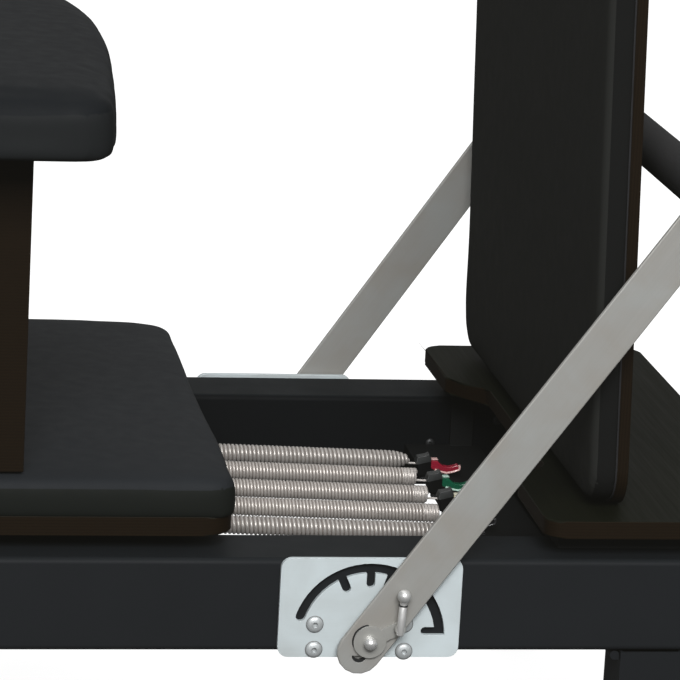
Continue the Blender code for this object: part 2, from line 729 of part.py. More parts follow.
# ---------------------------------------------------------------- sitting box
BOX_IN = (SIT_X[0] + 0.095, SIT_X[1] - 0.095)
BOX_HALF = 0.300
BOX_Z = CAR_TOP + PAD_T + GAP
body = put(
    "box_body",
    box((BOX_IN[0], -BOX_HALF, BOX_Z), (BOX_IN[1], BOX_HALF, SIT_Z - GAP)), PLY, "sitting_box",
)
cut = put(
    "box_hollow",
    box((BOX_IN[0] + 0.015, -BOX_HALF + 0.015, BOX_Z - 0.01), (BOX_IN[1] - 0.015, BOX_HALF - 0.015, SIT_Z - 0.0153)),
    None, "sitting_box",
)
boolean(body, cut, "DIFFERENCE")
xm = (BOX_IN[0] + BOX_IN[1]) / 2
grip = arc(xm + 0.040, 0.270, 0.015, -90, 90, 6) + arc(xm - 0.040, 0.270, 0.015, 90, 270, 6)
cut = put("box_grip_holes", prism(grip, "Y", -BOX_HALF - 0.01, BOX_HALF + 0.01), None, "sitting_box")
boolean(body, cut, "DIFFERENCE")


def bowed(x0, x1, h, bow, r, n=5, m=8):
    """A rectangle with rounded corners whose two long sides (along Y) bow outwards."""
    pts = []
    for s, xs in ((1, x1), (-1, x0)):
        corner = arc(xs - s * r, -s * (h - r), r, -90 if s > 0 else 90, 0 if s > 0 else 180, n)
        pts += corner
        for i in range(1, m):
            y = -s * (h - r) + s * 2 * (h - r) * i / m
            pts.append((xs + s * bow * (1 - (y / (h - r)) ** 2), y))
        pts += arc(xs - s * r, s * (h - r), r, 0 if s > 0 else 180, 90 if s > 0 else 270, n)
    return pts


put(
    "box_pad",
    prism(bowed(SIT_X[0] + 0.024, SIT_X[1] - 0.024, SIT_HALF, 0.024, 0.034), "Z", SIT_Z, SIT_Z + SIT_PAD_T, 0.014, 2),
    VINYL, "sitting_box",
)

# ---------------------------------------------------------------- jump board
def leaning(bm):
    """Shears a standing solid towards the carriage, about the platform's top."""
    for v in bm.verts:
        v.co.x -= JUMP_LEAN * (v.co.z - BOARD_Z - BOARD_T)
    return bm


put(
    "jump_pad",
    leaning(prism(
        rounded(-JUMP_HALF, JUMP_HALF, JUMP_BOTTOM, JUMP_TOP, 0.045, 6), "X", JUMP_X, JUMP_X + JUMP_T, 0.008, 2
    )),
    VINYL, "jump_board",
)
panel = put(
    "jump_panel",
    leaning(prism(
        rounded(-JUMP_HALF + 0.010, JUMP_HALF - 0.010, BOARD_Z + BOARD_T + GAP, JUMP_TOP - 0.015, 0.040, 5),
        "X", JUMP_X + JUMP_T + GAP, JUMP_X + JUMP_T + 0.0123,
    )),
    PLY, "jump_board",
)
for tag, side in (("near", -1), ("far", 1)):
    y0, y1 = sorted((side * 0.185, side * 0.215))
    post = put(
        "jump_post_" + tag,
        leaning(box((JUMP_X + JUMP_T + 0.010, y0, BOARD_Z + BOARD_T + GAP), (JUMP_X + JUMP_T + 0.030, y1, 0.480))),
        None, "jump_board",
    )
    boolean(panel, post, "UNION")


# ---------------------------------------------------------------- leg frames
def leg_frame(name, x_axis_face, inward, parent):
    """Two posts, a flat tie between their tops and hinge barrels; inward is the folding side (-1 or +1 in X)."""
    x0, x1 = sorted((x_axis_face, x_axis_face - inward * LEG_SIDE))
    top = -RAIL_H - 0.0010
    frame = None
    for tag, side in (("near", -1), ("far", 1)):
        y0, y1 = sorted((side * (HALF - LEG_SIDE), side * HALF))
        post = put(
            name if frame is None else name + "_post_far",
            box((x0, y0, -RAIL_TOP), (x1, y1, top)), BLACK if frame is None else None, parent,
        )
        if frame is None:
            frame = post
        else:
            far = post
    tie = put(
        name + "_tie",
        box((x0 + 0.010, -HALF + LEG_SIDE - 0.001, top - 0.008), (x1 - 0.010, HALF - LEG_SIDE + 0.001, top)),
        None, parent,
    )
    boolean(frame, tie, "UNION")
    boolean(frame, far, "UNION")
    for tag, side in (("near", -1), ("far", 1)):
        ax = x_axis_face + inward * 0.0045
        y0, y1 = sorted((side * (HALF - LEG_SIDE + 0.005), side * (HALF - 0.005)))
        barrel = put(name + "_barrel_" + tag, cylinder("Y", (ax, 0, LEG_AXIS_Z), 0.0045, y0, y1, 12), None, parent)
        boolean(frame, barrel, "UNION")
        web = put(
            name + "_web_" + tag,
            box((min(ax, x_axis_face - inward * 0.002), y0, LEG_AXIS_Z - 0.0045), (max(ax, x_axis_face - inward * 0.002), y1, LEG_AXIS_Z - 0.0005)),
            None, parent,
        )
        boolean(frame, web, "UNION")
    # the posts are tubes, open at the top, under the rail
    w = 0.003
    for tag, side in (("near", -1), ("far", 1)):
        y0, y1 = sorted((side * (HALF - LEG_SIDE + w), side * (HALF - w)))
        cut = put(name + "_bore_" + tag, box((x0 + w, y0, -RAIL_TOP + w), (x1 - w, y1, top + 0.01)), None, parent)
        boolean(frame, cut, "DIFFERENCE")


leg_frame("foot_leg", LEG_X, -1, "foot_legs")
leg_frame("mid_leg", MID_LEG_X, 1, "mid_legs")
leg_frame("head_leg", HEAD_LEG_X, 1, "head_legs")

bpy.context.view_layer.update()
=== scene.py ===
"""Looks of the folding pilates reformer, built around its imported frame.

Shapes are drawn from a datum beside the footbar's pivot, as x along the rails, y across and
z from the rails' top face, and W() puts them in the row frame.
"""
import json
import math

import bmesh
import bpy
import numpy as np
from mathutils import Matrix, Vector, noise


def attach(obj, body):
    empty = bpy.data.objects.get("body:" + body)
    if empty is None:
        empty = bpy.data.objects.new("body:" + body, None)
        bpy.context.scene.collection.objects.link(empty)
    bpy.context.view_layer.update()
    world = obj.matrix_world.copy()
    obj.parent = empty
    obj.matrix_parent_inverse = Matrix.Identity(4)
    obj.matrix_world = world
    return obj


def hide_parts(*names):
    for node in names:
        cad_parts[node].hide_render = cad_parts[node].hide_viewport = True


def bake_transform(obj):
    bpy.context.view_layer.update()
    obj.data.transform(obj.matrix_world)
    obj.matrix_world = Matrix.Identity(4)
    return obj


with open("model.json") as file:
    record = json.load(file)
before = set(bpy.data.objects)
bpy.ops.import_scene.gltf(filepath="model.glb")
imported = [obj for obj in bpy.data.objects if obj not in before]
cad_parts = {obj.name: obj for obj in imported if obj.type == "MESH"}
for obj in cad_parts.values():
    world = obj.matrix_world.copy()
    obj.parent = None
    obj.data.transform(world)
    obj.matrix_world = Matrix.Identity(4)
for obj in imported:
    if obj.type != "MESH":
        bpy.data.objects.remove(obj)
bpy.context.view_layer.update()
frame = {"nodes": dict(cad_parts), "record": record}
nodes = frame["nodes"]
body_of = {n: b for b, ns in frame["record"]["behaviour"]["bodies"].items() for n in ns}
scene = bpy.context.scene

PX, ZR = 0.778, 0.292
HALF = 0.330
INNER = 0.250
PIN_X, PIVOT_Z = -0.0020, -0.0750
ARM_ANGLE = 0.960
ARM_OUT = 0.345
SIDES = (("near", -1), ("far", 1))


def W(x, y, z):
    return Vector((x + PX, y, z + ZR))


# ------------------------------------------------------------------ node materials
def new_material(name):
    mat = bpy.data.materials.new(name)
    mat.use_nodes = True
    nt = mat.node_tree
    nt.nodes.clear()
    out = nt.nodes.new("ShaderNodeOutputMaterial")
    bsdf = nt.nodes.new("ShaderNodeBsdfPrincipled")
    nt.links.new(bsdf.outputs["BSDF"], out.inputs["Surface"])
    return mat, nt, bsdf


def coords(nt, scale=(1, 1, 1), rotation=(0, 0, 0), location=(0, 0, 0)):
    tc = nt.nodes.new("ShaderNodeTexCoord")
    mp = nt.nodes.new("ShaderNodeMapping")
    mp.inputs["Scale"].default_value = scale
    mp.inputs["Rotation"].default_value = rotation
    mp.inputs["Location"].default_value = location
    nt.links.new(tc.outputs["Object"], mp.inputs["Vector"])
    return mp.outputs["Vector"]


def noise_tex(nt, vec, scale, detail=3.0, rough=0.5, distortion=0.0):
    n = nt.nodes.new("ShaderNodeTexNoise")
    n.inputs["Scale"].default_value = scale
    n.inputs["Detail"].default_value = detail
    n.inputs["Roughness"].default_value = rough
    n.inputs["Distortion"].default_value = distortion
    nt.links.new(vec, n.inputs["Vector"])
    return n.outputs["Fac"]


def voronoi_tex(nt, vec, scale, feature="F1", randomness=1.0):
    n = nt.nodes.new("ShaderNodeTexVoronoi")
    n.feature = feature
    n.inputs["Scale"].default_value = scale
    n.inputs["Randomness"].default_value = randomness
    nt.links.new(vec, n.inputs["Vector"])
    return n.outputs["Distance"]


def ramp(nt, fac, stops):
    r = nt.nodes.new("ShaderNodeValToRGB")
    el = r.color_ramp.elements
    while len(el) > 1:
        el.remove(el[-1])
    el[0].position = stops[0][0]
    el[0].color = (*stops[0][1], 1)
    for pos, col in stops[1:]:
        e = el.new(pos)
        e.color = (*col, 1)
    nt.links.new(fac, r.inputs["Fac"])
    return r.outputs["Color"]


def remap(nt, value, a, b, c, d):
    m = nt.nodes.new("ShaderNodeMapRange")
    m.inputs["From Min"].default_value = a
    m.inputs["From Max"].default_value = b
    m.inputs["To Min"].default_value = c
    m.inputs["To Max"].default_value = d
    nt.links.new(value, m.inputs["Value"])
    return m.outputs["Result"]


def maths(nt, op, a, b):
    m = nt.nodes.new("ShaderNodeMath")
    m.operation = op
    for i, v in enumerate((a, b)):
        if isinstance(v, (int, float)):
            m.inputs[i].default_value = v
        else:
            nt.links.new(v, m.inputs[i])
    return m.outputs["Value"]


def bump(nt, bsdf, height, strength, distance, under=None):
    b = nt.nodes.new("ShaderNodeBump")
    b.inputs["Strength"].default_value = strength
    b.inputs["Distance"].default_value = distance
    nt.links.new(height, b.inputs["Height"])
    if under is not None:
        nt.links.new(under, b.inputs["Normal"])
    nt.links.new(b.outputs["Normal"], bsdf.inputs["Normal"])
    return b.outputs["Normal"]


def mat_powder(name, base, rough=0.5, spec=0.1, orange=0.4):
    """Powder-coated metal: fine orange peel, faint cloudiness."""
    mat, nt, bsdf = new_material(name)
    v = coords(nt)
    cloud = noise_tex(nt, v, 7.0, 4.0)
    col = ramp(nt, cloud, [(0.3, tuple(c * 0.95 for c in base)), (0.7, tuple(c * 1.05 for c in base))])
    nt.links.new(col, bsdf.inputs["Base Color"])
    nt.links.new(remap(nt, noise_tex(nt, v, 26.0, 3.0), 0.3, 0.7, rough - 0.03, rough + 0.04), bsdf.inputs["Roughness"])
    peel = maths(nt, "ADD", noise_tex(nt, v, 1100.0, 2.0), maths(nt, "MULTIPLY", noise_tex(nt, v, 320.0, 2.0), 0.8))
    bump(nt, bsdf, peel, orange, 0.00010)
    bsdf.inputs["Specular IOR Level"].default_value = spec
    return mat


def mat_vinyl(name, base, rough=0.6, spec=0.04, mottle=0.04, lumps=0.10):
    """Upholstery vinyl: pebbled grain of about a millimetre, soft mottling."""
    mat, nt, bsdf = new_material(name)
    v = coords(nt)
    mott = noise_tex(nt, v, 11.0, 4.0, 0.5)
    col = ramp(nt, mott, [(0.25, tuple(c * (1 - mottle) for c in base)), (0.75, tuple(c * (1 + mottle) for c in base))])
    nt.links.new(col, bsdf.inputs["Base Color"])
    nt.links.new(remap(nt, noise_tex(nt, v, 60.0, 4.0), 0.3, 0.7, rough - 0.04, rough + 0.04), bsdf.inputs["Roughness"])
    warp = nt.nodes.new("ShaderNodeVectorMath")
    warp.operation = "ADD"
    wn = nt.nodes.new("ShaderNodeTexNoise")
    wn.inputs["Scale"].default_value = 500.0
    nt.links.new(v, wn.inputs["Vector"])
    sc = nt.nodes.new("ShaderNodeVectorMath")
    sc.operation = "SCALE"
    sc.inputs["Scale"].default_value = 0.0009
    nt.links.new(wn.outputs["Color"], sc.inputs[0])
    nt.links.new(v, warp.inputs[0])
    nt.links.new(sc.outputs["Vector"], warp.inputs[1])
    cells = voronoi_tex(nt, warp.outputs["Vector"], 720.0, "DISTANCE_TO_EDGE")
    pebble = remap(nt, cells, 0.0, 0.35, 0.0, 1.0)
    fine = noise_tex(nt, v, 2600.0, 2.0)
    height = maths(nt, "ADD", pebble, maths(nt, "MULTIPLY", fine, 0.35))
    first = bump(nt, bsdf, noise_tex(nt, v, 34.0, 3.0), lumps, 0.0006)
    bump(nt, bsdf, height, 0.22, 0.00014, first)
    bsdf.inputs["Specular IOR Level"].default_value = spec
    return mat


def mat_wood_face(name, dark, light, along=0, rough=0.55, spec=0.06):
    """Stained veneer with fine long grain along one axis."""
    mat, nt, bsdf = new_material(name)
    s = [38.0, 38.0, 38.0]
    s[along] = 2.2
    v = coords(nt, tuple(s))
    grain = noise_tex(nt, v, 1.0, 8.0, 0.62, 0.7)
    s2 = [420.0, 420.0, 420.0]
    s2[along] = 9.0
    pores = noise_tex(nt, coords(nt, tuple(s2)), 1.0, 3.0, 0.6)
    mix = maths(nt, "ADD", maths(nt, "MULTIPLY", grain, 0.72), maths(nt, "MULTIPLY", pores, 0.28))
    col = ramp(nt, mix, [(0.34, dark), (0.52, tuple((a + b) / 2 for a, b in zip(dark, light))), (0.68, light)])
    nt.links.new(col, bsdf.inputs["Base Color"])
    nt.links.new(remap(nt, pores, 0.3, 0.7, rough + 0.06, rough - 0.03), bsdf.inputs["Roughness"])
    bump(nt, bsdf, mix, 0.22, 0.00018)
    bsdf.inputs["Specular IOR Level"].default_value = spec
    return mat


def mat_ply_edge(name, dark, light, across=2, plies=1.45e-3, rough=0.65):
    """The sawn edge of plywood: thin plies of alternating grain, stained."""
    mat, nt, bsdf = new_material(name)
    s = [0.0, 0.0, 0.0]
    s[across] = 1.0 / (2 * plies)
    v = coords(nt, tuple(s))
    wav = nt.nodes.new("ShaderNodeTexWave")
    wav.wave_type = "BANDS"
    wav.bands_direction = "XYZ"[across]
    wav.inputs["Scale"].default_value = 0.314
    wav.inputs["Distortion"].default_value = 0.0
    wav.inputs["Detail"].default_value = 0.0
    nt.links.new(v, wav.inputs["Vector"])
    g = [70.0, 70.0, 70.0]
    g[across] = 900.0
    fib = noise_tex(nt, coords(nt, tuple(g)), 1.0, 4.0, 0.6)
    mix = maths(nt, "ADD", maths(nt, "MULTIPLY", wav.outputs["Fac"], 0.45), maths(nt, "MULTIPLY", fib, 0.55))
    col = ramp(nt, mix, [(0.22, dark), (0.75, light)])
    nt.links.new(col, bsdf.inputs["Base Color"])
    bump(nt, bsdf, mix, 0.25, 0.00022)
    bsdf.inputs["Roughness"].default_value = rough
    bsdf.inputs["Specular IOR Level"].default_value = 0.05
    return mat


def mat_brushed(name, base, rough=0.45, angle=0.0, tint=0.03, contrast=0.05, metallic=0.4, smudges=0.10, smudge_scale=16.0):
    """Brushed stainless: fine hairlines along a direction in the XZ plane and broad faint smudges."""
    mat, nt, bsdf = new_material(name)
    v = coords(nt, (1, 1, 1), (0, angle, 0))
    mp = nt.nodes.new("ShaderNodeMapping")
    mp.inputs["Scale"].default_value = (14.0, 1500.0, 1500.0)
    nt.links.new(v, mp.inputs["Vector"])
    hair = noise_tex(nt, mp.outputs["Vector"], 1.0, 4.0, 0.65)
    smudge = noise_tex(nt, coords(nt), smudge_scale, 4.0, 0.55, 0.4)
    lo, hi = 1 - smudges, 1 + smudges
    warm = (base[0] * (1 + tint) * lo, base[1] * lo, base[2] * (1 - tint) * lo)
    cool = (base[0] * (1 - tint) * hi, base[1] * hi, base[2] * (1 + tint * 0.6) * hi)
    col = ramp(nt, smudge, [(0.30, warm), (0.5, base), (0.70, cool)])
    dark = nt.nodes.new("ShaderNodeMixRGB")
    dark.blend_type = "MULTIPLY"
    dark.inputs["Fac"].default_value = 1.0
    nt.links.new(col, dark.inputs["Color1"])
    lowest = 1 - contrast
    shade = ramp(nt, hair, [(0.3, (lowest, lowest, lowest)), (0.62, (1.0, 1.0, 1.0))])
    nt.links.new(shade, dark.inputs["Color2"])
    nt.links.new(dark.outputs["Color"], bsdf.inputs["Base Color"])
    rr = maths(nt, "ADD", remap(nt, hair, 0.3, 0.7, rough - 0.04, rough + 0.05), remap(nt, smudge, 0.3, 0.7, -0.03, 0.03))
    nt.links.new(rr, bsdf.inputs["Roughness"])
    bump(nt, bsdf, hair, 0.15, 0.00004)
    bsdf.inputs["Metallic"].default_value = metallic
    bsdf.inputs["Specular IOR Level"].default_value = 0.3
    return mat


def mat_metal(name, base, rough=0.15, grain=0.1, scale=90.0, metallic=1.0, spread=0.08):
    mat, nt, bsdf = new_material(name)
    v = coords(nt)
    n = noise_tex(nt, v, scale, 4.0)
    col = ramp(nt, n, [(0.3, tuple(c * (1 - spread) for c in base)), (0.7, tuple(min(1.0, c * (1 + spread)) for c in base))])
    nt.links.new(col, bsdf.inputs["Base Color"])
    nt.links.new(remap(nt, noise_tex(nt, v, scale * 3, 3.0), 0.3, 0.7, max(0.03, rough - 0.04), rough + 0.05), bsdf.inputs["Roughness"])
    bump(nt, bsdf, noise_tex(nt, v, 900.0, 2.0), grain, 0.00004)
    bsdf.inputs["Metallic"].default_value = metallic
    return mat


def mat_plastic(name, base, rough=0.4, spec=0.5, grain=0.25, scale=1400.0, coat=0.0):
    mat, nt, bsdf = new_material(name)
    v = coords(nt)
    n = noise_tex(nt, v, 40.0, 3.0)
    col = ramp(nt, n, [(0.3, tuple(c * 0.93 for c in base)), (0.7, tuple(min(1.0, c * 1.07) for c in base))])
    nt.links.new(col, bsdf.inputs["Base Color"])
    nt.links.new(remap(nt, noise_tex(nt, v, 150.0, 3.0), 0.3, 0.7, rough - 0.05, rough + 0.06), bsdf.inputs["Roughness"])
    bump(nt, bsdf, noise_tex(nt, v, scale, 2.0), grain, 0.00008)
    bsdf.inputs["Specular IOR Level"].default_value = spec
    bsdf.inputs["Coat Weight"].default_value = coat
    return mat


def mat_foam(name, base):
    mat, nt, bsdf = new_material(name)
    v = coords(nt)
    cells = voronoi_tex(nt, v, 1300.0)
    col = ramp(nt, cells, [(0.0, tuple(c * 0.5 for c in base)), (0.6, tuple(c * 1.3 for c in base))])
    nt.links.new(col, bsdf.inputs["Base Color"])
    bump(nt, bsdf, cells, 0.6, 0.0003)
    bsdf.inputs["Roughness"].default_value = 0.88
    bsdf.inputs["Specular IOR Level"].default_value = 0.1
    return mat


BLACK = mat_powder("frame_powder_coat", (0.0082, 0.0092, 0.0106), 0.55, 0.05)
# the frame's inner-face and top materials are darker copies of the same powder coat: painted shade, darkest on the far
# rails' tops
BLACK_INNER_PAINTED_SHADE = mat_powder("frame_powder_inner_painted_shade", (0.0026, 0.0031, 0.0038), 0.60, 0.04)
BLACK_TOP_PAINTED_SHADE = mat_powder("frame_powder_top_painted_shade", (0.0066, 0.0078, 0.0090), 0.55, 0.05)
FAR_TOP_BLACK_PAINTED_SHADE = mat_powder("frame_powder_far_painted_shade", (0.0048, 0.0060, 0.0070), 0.58, 0.04)
BLACK_IN = mat_powder("bracket_powder_coat", (0.0060, 0.0064, 0.0066), 0.60, 0.04, 0.6)
VINYL = mat_vinyl("pad_vinyl", (0.0110, 0.0124, 0.0142))
# the side copy of the pad vinyl below is made darker: painted shade on the pads' sides
VINYL_SIDE_PAINTED_SHADE = mat_vinyl("pad_vinyl_side_painted_shade", (0.0052, 0.0062, 0.0054))
VINYL_JUMP = mat_vinyl("jump_vinyl", (0.0132, 0.0136, 0.0128), 0.65, 0.02)
# the jump board's side copy of its vinyl is made darker: painted shade
VINYL_JUMP_SIDE_PAINTED_SHADE = mat_vinyl("jump_vinyl_side_painted_shade", (0.0050, 0.0052, 0.0052), 0.65, 0.02)
# the seat's top and side copies of the vinyl are both made darker than the pads' vinyl: painted shade, strongest on the
# top
VINYL_SEAT_TOP_PAINTED_SHADE = mat_vinyl("seat_vinyl", (0.0046, 0.0055, 0.0066))
SEAT_SIDE_VINYL_PAINTED_SHADE = mat_vinyl("seat_vinyl_side_painted_shade", (0.0078, 0.0087, 0.0094))
PLY_TOP = mat_wood_face("stained_veneer", (0.0026, 0.0031, 0.0012), (0.0038, 0.0042, 0.0020), 1, 0.55, 0.03)
PLY_TOP_X = mat_wood_face("stained_veneer_long", (0.0060, 0.0056, 0.0036), (0.0082, 0.0074, 0.0050), 0)
PLY_TOP_Z = mat_wood_face("stained_veneer_upright", (0.0060, 0.0056, 0.0036), (0.0082, 0.0074, 0.0050), 2)
PLY_EDGE = mat_ply_edge("ply_edge", (0.0042, 0.0019, 0.0003), (0.0064, 0.0034, 0.0009), 2)
PLY_EDGE_X = mat_ply_edge("ply_edge_upright", (0.0042, 0.0019, 0.0003), (0.0064, 0.0034, 0.0009), 0)
ARM_STEEL = mat_brushed("arm_stainless", (0.246, 0.243, 0.229), 0.45, ARM_ANGLE, 0.03, 0.05, 0.30, 0.05, 22.0)
BAR_STEEL = mat_metal("tube_stainless", (0.50, 0.50, 0.49), 0.26)
PLATE_STEEL = mat_brushed("plate_stainless", (0.430, 0.475, 0.486), 0.50, 0.0, 0.015, 0.03, 0.30, 0.12, 13.0)
SCREW_STEEL = mat_metal("screw_steel", (0.37, 0.390, 0.395), 0.42, 0.1, 200.0, 0.45)
SCREW_RIM = mat_metal("screw_rim", (0.150, 0.155, 0.155), 0.50, 0.1, 200.0, 0.4)
CHROME = mat_metal("chrome_plate", (0.66, 0.66, 0.65), 0.24, 0.04, 150.0, 0.8)
LEVER_STEEL = mat_metal("lever_steel", (0.52, 0.52, 0.51), 0.32, 0.06, 120.0, 0.65)
DISC_STEEL = mat_metal("disc_steel", (0.250, 0.249, 0.234), 0.42, 0.08, 90.0, 0.35, 0.04)
SPRING_STEEL = mat_metal("spring_wire", (0.385, 0.358, 0.334), 0.42, 0.05, 160.0, 0.50)
# a darker copy of the spring wire for the two outer springs: painted shade holding down their brighter highlights
SPRING_STEEL_OUTER_PAINTED_SHADE = mat_metal("spring_wire_outer_painted_shade", (0.335, 0.315, 0.296), 0.42, 0.05, 160.0, 0.50)
SLEEVE_STEEL = mat_metal("spring_sleeve", (0.40, 0.375, 0.355), 0.50, 0.05, 120.0, 0.35)
PLASTIC = mat_plastic("black_nylon", (0.0085, 0.0090, 0.0100), 0.50, 0.15)
# lighter and darker copies of the black nylon for the clamp blocks: painted light on their tops, painted shade on their
# bodies
PLASTIC_PAINTED_LIGHT = mat_plastic("black_nylon_painted_light", (0.0150, 0.0165, 0.0165), 0.45, 0.30)
PLASTIC_PAINTED_SHADE = mat_plastic("black_nylon_clamp_painted_shade", (0.0022, 0.0023, 0.0026), 0.60, 0.04)
# a dark brown core colour standing in for the shade inside the coils: painted shade
COIL_CORE_PAINTED_SHADE = mat_plastic("spring_core_painted_shade", (0.110, 0.092, 0.082), 0.70, 0.10)
RUBBER = mat_plastic("black_rubber", (0.0080, 0.0080, 0.0080), 0.78, 0.10, 0.5, 700.0)
FOAM = mat_foam("grip_foam", (0.0150, 0.0150, 0.0155))
# blackened steel for the bolts and the lever collars, also used for the painted shadow by the pivot discs and the
# painted shade in the arms' pockets
BLACK_BOLT_AND_PAINTED_SHADE = mat_metal("blackened_steel_and_painted_shade", (0.020, 0.021, 0.022), 0.45, 0.12, 120.0, 0.6)
TAG_COLOURS = [
    (0.210, 0.008, 0.022), (0.003, 0.070, 0.034), (0.400, 0.375, 0.240), (0.010, 0.010, 0.011), (0.010, 0.010, 0.011),
]
# paler tab colours for the rims and caps: painted highlights
TAG_HIGHLIGHT_COLOURS = [
    (0.560, 0.360, 0.340), (0.400, 0.560, 0.480), (0.620, 0.600, 0.480), (0.030, 0.030, 0.032), (0.030, 0.030, 0.032),
]
TAG_NAMES = ("red", "green", "yellow", "black", "black")
TAG_MATS = [mat_plastic(f"tab_{n}_{i}", c, 0.24, 0.5, 0.1, 900.0, 0.3) for i, (n, c) in enumerate(zip(TAG_NAMES, TAG_COLOURS))]
TAG_HIGHLIGHT_MATS = [mat_plastic(f"tab_painted_highlight_{n}_{i}", c, 0.24, 0.5, 0.1, 900.0, 0.3) for i, (n, c) in enumerate(zip(TAG_NAMES, TAG_HIGHLIGHT_COLOURS))]
THREAD = mat_plastic("black_thread", (0.012, 0.012, 0.013), 0.7, 0.1, 0.5, 3000.0)
# a lighter grey meant for a painted highlight line along pad edges; nothing uses it
PIPING_PAINTED_HIGHLIGHT = mat_plastic("grey_piping_painted_highlight", (0.030, 0.032, 0.034), 0.6, 0.1, 0.4, 2000.0)


# ------------------------------------------------------------------ mesh helpers
def link(name, mesh):
    ob = bpy.data.objects.new(name, mesh)
    scene.collection.objects.link(ob)
    return ob


def from_bm(name, bm, mats, angle=35.0, smooth=True):
    bmesh.ops.recalc_face_normals(bm, faces=bm.faces)
    if bm.calc_volume(signed=True) < 0:
        bmesh.ops.reverse_faces(bm, faces=bm.faces)
    me = bpy.data.meshes.new(name)
    bm.to_mesh(me)
    bm.free()
    for m in mats if isinstance(mats, (list, tuple)) else [mats]:
        me.materials.append(m)
    if smooth:
        me.shade_smooth()
        me.set_sharp_from_angle(angle=math.radians(angle))
    return link(name, me)


def baked(ob):
    """The object's mesh with its modifiers applied."""
    bpy.context.view_layer.update()
    dg = bpy.context.evaluated_depsgraph_get()
    me = bpy.data.meshes.new_from_object(ob.evaluated_get(dg), preserve_all_data_layers=True, depsgraph=dg)
    old = ob.data
    ob.modifiers.clear()
    ob.data = me
    if old.users == 0:
        bpy.data.meshes.remove(old)
    return ob


def soften(ob, width, segments=2, angle=32.0):
    """Rounds the hard edges and keeps the flats flat."""
    b = ob.modifiers.new("edge", "BEVEL")
    b.width = width
    b.segments = segments
    b.limit_method = "ANGLE"
    b.angle_limit = math.radians(angle)
    b.miter_outer = "MITER_ARC"
    w = ob.modifiers.new("flats", "WEIGHTED_NORMAL")
    w.keep_sharp = True
    w.weight = 80
    ob.data.shade_smooth()
    return baked(ob)


def place(ob, body, slot, *replaced):
    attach(ob, body)
    if replaced:
        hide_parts(*replaced)
    return ob


SLOT = {s["node"]: s["material_slot"] for s in frame["record"]["subparts"]}


def polish(node, mats, width=0.0008, segments=2, angle=32.0, pick=None):
    """The CAD node's own shape with its hard edges eased, in its place."""
    bm = bmesh.new()
    bm.from_mesh(nodes[node].data)
    bmesh.ops.remove_doubles(bm, verts=bm.verts, dist=3e-5)
    bmesh.ops.dissolve_degenerate(bm, edges=bm.edges, dist=1e-6)
    bmesh.ops.dissolve_limit(
        bm, angle_limit=math.radians(0.8), verts=list(bm.verts), edges=list(bm.edges), delimit=set()
    )
    bmesh.ops.recalc_face_normals(bm, faces=bm.faces)
    if pick:
        for f in bm.faces:
            f.material_index = pick(f)
    ob = from_bm(node + "_shell", bm, mats)
    if width:
        soften(ob, width, segments, angle)
    return place(ob, body_of[node], SLOT[node], node)


def arc(cx, cy, r, a0, a1, n):
    return [
        (cx + r * math.cos(math.radians(a0 + (a1 - a0) * i / n)), cy + r * math.sin(math.radians(a0 + (a1 - a0) * i / n)))
        for i in range(n + 1)
    ]


def lift(axis, a, b, t):
    return {"X": (t, a, b), "Y": (a, t, b), "Z": (a, b, t)}[axis]


def prism(points, axis, t0, t1):
    bm = bmesh.new()
    low = [bm.verts.new(W(*lift(axis, a, b, t0))) for a, b in points]
    high = [bm.verts.new(W(*lift(axis, a, b, t1))) for a, b in points]
    n = len(points)
    bm.faces.new(low)
    bm.faces.new(high[::-1])
    for i in range(n):
        j = (i + 1) % n
        bm.faces.new((low[i], high[i], high[j], low[j]))
    return bm


def spot(axis, at, u, v, t):
    if axis == "X":
        return (at[0] + t, at[1] + u, at[2] + v)
    if axis == "Y":
        return (at[0] + u, at[1] + t, at[2] + v)
    return (at[0] + u, at[1] + v, at[2] + t)


def lathe(profile, axis, at, n=48, closed=False, bm=None, mat=0):
    own = bm is None
    bm = bm or bmesh.new()
    rings = []
    for r, t in profile:
        if r < 1e-9:
            rings.append([bm.verts.new(W(*spot(axis, at, 0, 0, t)))])
        else:
            rings.append([
                bm.verts.new(W(*spot(axis, at, r * math.cos(2 * math.pi * k / n), r * math.sin(2 * math.pi * k / n), t)))
                for k in range(n)
            ])
    pairs = list(zip(rings, rings[1:]))
    if closed:
        pairs.append((rings[-1], rings[0]))
    for a, b in pairs:
        for k in range(n):
            m = (k + 1) % n
            if len(a) == 1 and len(b) == 1:
                continue
            if len(a) == 1:
                f = bm.faces.new((a[0], b[k], b[m]))
            elif len(b) == 1:
                f = bm.faces.new((a[k], b[0], a[m]))
            else:
                f = bm.faces.new((a[k], b[k], b[m], a[m]))
            f.material_index = mat
    return bm


def add_box(bm, lo, hi, mat=0):
    size = [b - a for a, b in zip(lo, hi)]
    mid = W(*[(a + b) / 2 for a, b in zip(lo, hi)])
    r = bmesh.ops.create_cube(bm, size=1, matrix=Matrix.Translation(mid) @ Matrix.Diagonal((*size, 1)))
    for f in {f for v in r["verts"] for f in v.link_faces}:
        f.material_index = mat
    return bm


